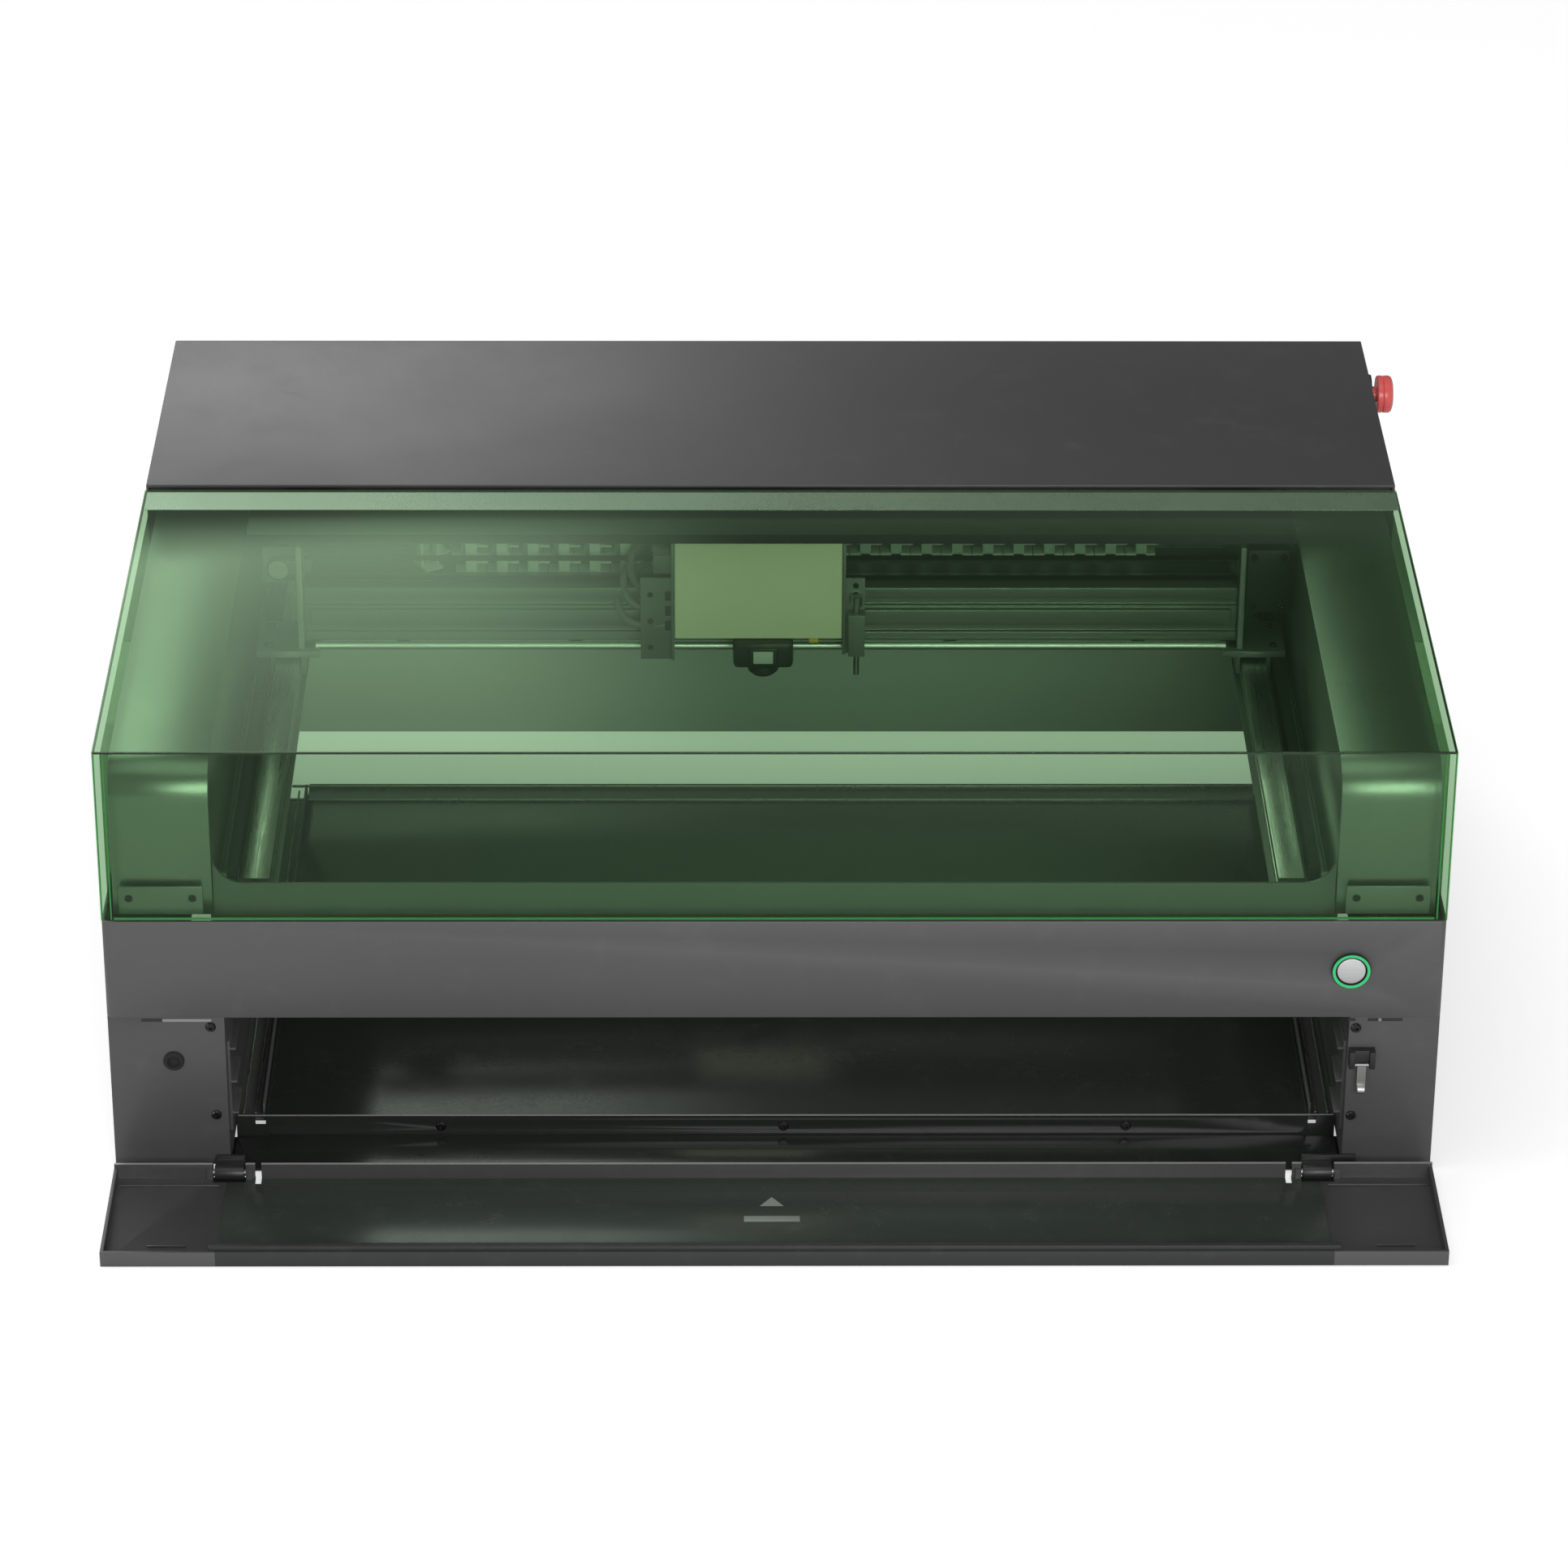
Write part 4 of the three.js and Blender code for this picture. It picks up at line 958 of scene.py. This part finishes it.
def makeHeadParts():
    bm = bmesh.new()
    for run in cableRuns:
        addTube(bm, run, 2.3)
    finishPiece("headCables", bm, cableSkin, "head", ["head_cable"])
    bm = bmesh.new()
    for run in cableRuns:
        end = Vector(run[-1])
        addBlock(bm, end - Vector((3, 3.2, 3.2)), end + Vector((3, 3.2, 3.2)), 0.8)
    finishPiece("cablePlugs", bm, darkPlastic, "head")

    low, high = nodeBox("nozzle")
    bm = bmesh.new()
    addBlock(bm, (low.x, low.y, low.z + 6), (high.x, high.y - 5.6, high.z), 3.2)
    middle = ((low.x + high.x) / 2, low.y + 9)
    funnel = [(0, 7), (9.5, 7), (9.5, 2.5), (7, 0), (4, 0), (3.4, 2), (0, 2)]
    spinProfile(bm, funnel, (*middle, low.z), "z", 32)
    addBlock(bm, (middle[0] - 9, low.y - 1.2, low.z + 8.5), (middle[0] + 9, low.y + 2, high.z - 3), 1.2)
    finishPiece("airNozzle", bm, darkCoat, "head", ["nozzle"])
    bm = bmesh.new()
    addBlock(bm, (middle[0] - 6, low.y - 1.5, low.z + 10.5), (middle[0] + 6, low.y - 0.9, high.z - 5), 0.2)
    finishPiece("nozzleWindow", bm, chainPlastic, "head")
    bm = bmesh.new()
    addBlock(
        bm,
        (plateHigh.x - 20, plateLow.y - 1.0, plateLow.z - 2.6),
        (plateHigh.x - 14, plateLow.y + 2, plateLow.z - 0.2),
        0.6,
    )
    finishPiece("lensTab", bm, yellowPlastic, "head")

    # finger guard and screws of the module's fan, and the screws of the side brackets
    rotorLow, rotorHigh = nodeBox("module_rotor")
    coolerHigh = nodeBox("module_cooler")[1]
    centre = ((rotorLow.x + rotorHigh.x) / 2, (rotorLow.y + rotorHigh.y) / 2)
    top = coolerHigh.z
    bm = bmesh.new()
    for r in (5, 9, 13):
        ring = [(r - 0.5, 0.1), (r + 0.5, 0.1), (r + 0.5, 0.9), (r - 0.5, 0.9), (r - 0.5, 0.1)]
        spinProfile(bm, ring, (*centre, top), "z", 28)
    for angle in (45, 135):
        turn = Matrix.Rotation(math.radians(angle), 4, "Z")
        addBlock(
            bm,
            (centre[0] - 16, centre[1] - 0.5, top + 0.1),
            (centre[0] + 16, centre[1] + 0.5, top + 0.8),
            0.1,
            turn,
        )
    finishPiece("fanGuard", bm, edgeSteel, "head")
    bm = bmesh.new()
    for x in (centre[0] - 16, centre[0] + 16):
        for y in (centre[1] - 12.5, centre[1] + 12.5):
            addScrew(bm, (x, y, top), (0, 0, 1), 1.8, 1.1)
    for x, zs in ((carrierLow.x + 6, (188, 206, 224)), (plateHigh.x + 8.5, (224, 230))):
        for z in zs:
            addScrew(bm, (x, plateHigh.y, z), (0, -1, 0), 1.8, 1.2)
    finishPiece("headScrews", bm, blackScrew, "head")


makeHeadParts()
print("head parts made")

buttonLow, buttonHigh = nodeBox("power_button")
bezelLow, bezelHigh = nodeBox("power_button_bezel")
stopLow, stopHigh = nodeBox("estop_button")


def makeControls():
    x = (buttonLow.x + buttonHigh.x) / 2
    z = (buttonLow.z + buttonHigh.z) / 2
    outward = Matrix.Rotation(math.pi / 2, 4, "X")
    outer = (bezelHigh.x - bezelLow.x) / 2 - 0.4
    ring = [(9.2, 0), (outer - 0.3, 0), (outer, 0.25), (outer, -0.4), (9.2, -0.4), (9.2, 0)]
    bm = bmesh.new()
    spinProfile(bm, ring, (x, bezelLow.y - 0.1, z), outward, 48)
    finishPiece("buttonRing", bm, ringGlow, "case")
    bm = bmesh.new()
    radius = (buttonHigh.x - buttonLow.x) / 2
    depth = buttonHigh.y - buttonLow.y
    cap = [(0, 0.1), (radius - 1.6, 0), (radius - 0.4, -0.2), (radius, -0.7), (radius, -depth), (0, -depth)]
    spinProfile(bm, cap, (x, buttonLow.y + 0.1, z), outward, 48)
    finishPiece("powerCap", bm, capMetal, nodes["power_button"]["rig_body"], ["power_button"])

    y = (stopLow.y + stopHigh.y) / 2
    z = (stopLow.z + stopHigh.z) / 2
    r = (stopHigh.y - stopLow.y) / 2
    length = stopHigh.x - stopLow.x
    bm = bmesh.new()
    collar = length - 10.4
    cap = [
        (0, 0), (5, 0), (5, collar), (r - 0.8, collar), (r, collar + 0.8), (r, collar + 3.4), (
            r - 0.7, collar + 4
        ),
        (r, collar + 4.6), (r, length - 2.6), (r - 0.9, length - 1), (r - 3.2, length - 0.1), (0, length),
    ]
    spinProfile(bm, cap, (stopLow.x, y, z), "x", 40)
    finishPiece("stopCap", bm, redPlastic, nodes["estop_button"]["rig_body"], ["estop_button"])


makeControls()
print("controls made")

socketFacts = {"pins": ((-6.5, -1.5), (0, 2.5), (6.5, -1.5)), "pinHalf": (1.0, 2.2)}
guardRings = (18, 27, 36, 45, 54)


def makeRear(s):
    low, high = nodeBox("power_inlet")
    x, z = (low.x + high.x) / 2, (low.z + high.z) / 2
    w, h = s["pinHalf"]
    bm = bmesh.new()
    for dx, dz in s["pins"]:
        addBlock(bm, (x + dx - w, low.y + 2.5, z + dz - h), (x + dx + w, high.y - 3, z + dz + h), 0.3)
    finishPiece("inletPins", bm, zinc, "case")

    # wire finger guard inside the slots of the rear cover
    low, high = nodeBox("exhaust_fan_frame")
    x, z = (low.x + high.x) / 2, (low.z + high.z) / 2
    bm = bmesh.new()
    back = Matrix.Rotation(-math.pi / 2, 4, "X")
    for r in guardRings:
        ring = [(r - 0.7, -1.5), (r + 0.7, -1.5), (r + 0.7, -0.2), (r - 0.7, -0.2), (r - 0.7, -1.5)]
        spinProfile(bm, ring, (x, high.y, z), back, 40)
    for angle in (45, 135):
        turn = Matrix.Rotation(math.radians(angle), 4, "Y")
        addBlock(bm, (x - 62, high.y - 2.3, z - 0.8), (x + 62, high.y - 1.5, z + 0.8), 0.2, turn)
    finishPiece("exhaustGuard", bm, edgeSteel, "case")


makeRear(socketFacts)
print("rear parts made")


studio = {
    "floorHalf": 12,
    "floorTone": (0.86, 0.86, 0.86, 1),
    "shade": 0.3,
    "glow": 2.6,
    "rearShade": 0.2,
    "topLamp": 12,
    "frontLamp": 54,
    "leftLamp": 14,
}


def makeFloor(s):
    bm = bmesh.new()
    bmesh.ops.create_grid(bm, x_segments=1, y_segments=1, size=s["floorHalf"])
    mesh = bpy.data.meshes.new("studioFloor")
    bm.to_mesh(mesh)
    bm.free()
    floor = bpy.data.objects.new("studioFloor", mesh)
    bpy.context.scene.collection.objects.link(floor)
    m, t, out = newMaterial("floorPaint")
    p = t.nodes.new("ShaderNodeBsdfPrincipled")
    p.inputs["Base Color"].default_value = s["floorTone"]
    p.inputs["Roughness"].default_value = 0.9
    p.inputs["Emission Color"].default_value = (1, 1, 1, 1)
    path = t.nodes.new("ShaderNodeLightPath")
    seen = mathNode(t, "ADD", path.outputs["Is Camera Ray"], path.outputs["Is Transmission Ray"], True)
    link(t, mathNode(t, "MULTIPLY", seen, 0.5), p.inputs["Emission Strength"])
    link(t, p.outputs[0], out.inputs["Surface"])
    mesh.materials.append(m)


def makeWorld(s):
    # plain light all round, with one broad soft window of light low behind the left side
    world = bpy.data.worlds.new("studioWorld")
    bpy.context.scene.world = world
    world.use_nodes = True
    t = world.node_tree
    t.nodes.clear()
    out = t.nodes.new("ShaderNodeOutputWorld")
    lit = t.nodes.new("ShaderNodeBackground")
    shown = t.nodes.new("ShaderNodeBackground")
    shown.inputs["Color"].default_value = (1, 1, 1, 1)
    lit.inputs["Color"].default_value = (1, 1, 1, 1)
    way = t.nodes.new("ShaderNodeTexCoord").outputs["Generated"]
    split = t.nodes.new("ShaderNodeSeparateXYZ")
    link(t, way, split.inputs[0])
    x, y, z = split.outputs
    rear = mathNode(
        t, "MULTIPLY", mapRange(t, y, 0.35, 0.65, 0.0, 1.0, True), mapRange(t, z, 0.16, 0.3, 0.0, 1.0, True)
    )
    rear = mathNode(t, "MULTIPLY", rear, mapRange(t, z, 0.9, 0.7, 0.0, 1.0, True))
    window = mathNode(t, "MULTIPLY", rear, mapRange(t, x, 0.01, -0.15, 0.0, s["glow"], True))
    window = mathNode(t, "MULTIPLY", window, mapRange(t, x, -0.75, -0.45, 0.0, 1.0, True))
    shade = mathNode(t, "SUBTRACT", s["shade"], mathNode(t, "MULTIPLY", rear, s["rearShade"]))
    link(t, mathNode(t, "ADD", window, shade), lit.inputs["Strength"])
    path = t.nodes.new("ShaderNodeLightPath")
    mix = t.nodes.new("ShaderNodeMixShader")
    link(t, path.outputs["Is Camera Ray"], mix.inputs[0])
    link(t, lit.outputs[0], mix.inputs[1])
    link(t, shown.outputs[0], mix.inputs[2])
    link(t, mix.outputs[0], out.inputs["Surface"])


def areaLamp(name, place, target, size, power):
    data = bpy.data.lights.new(name, "AREA")
    data.shape = "RECTANGLE"
    data.size, data.size_y = size
    data.energy = power
    o = bpy.data.objects.new(name, data)
    aim = Vector(target) - Vector(place)
    o.matrix_world = Matrix.Translation(place) @ aim.to_track_quat("-Z", "Y").to_matrix().to_4x4()
    bpy.context.scene.collection.objects.link(o)


makeFloor(studio)
makeWorld(studio)
areaLamp("topLamp", (-0.2, -0.5, 2.6), (0, 0, 0.1), (2.2, 1.8), studio["topLamp"])
areaLamp("frontLamp", (0.7, -3.2, 1.3), (0, 0, 0.1), (2.0, 1.4), studio["frontLamp"])
areaLamp("leftLamp", (-2.6, -0.4, 1.2), (0, 0, 0.1), (1.4, 1.2), studio["leftLamp"])

bpy.context.scene.view_settings.view_transform = "Standard"
print("studio made")
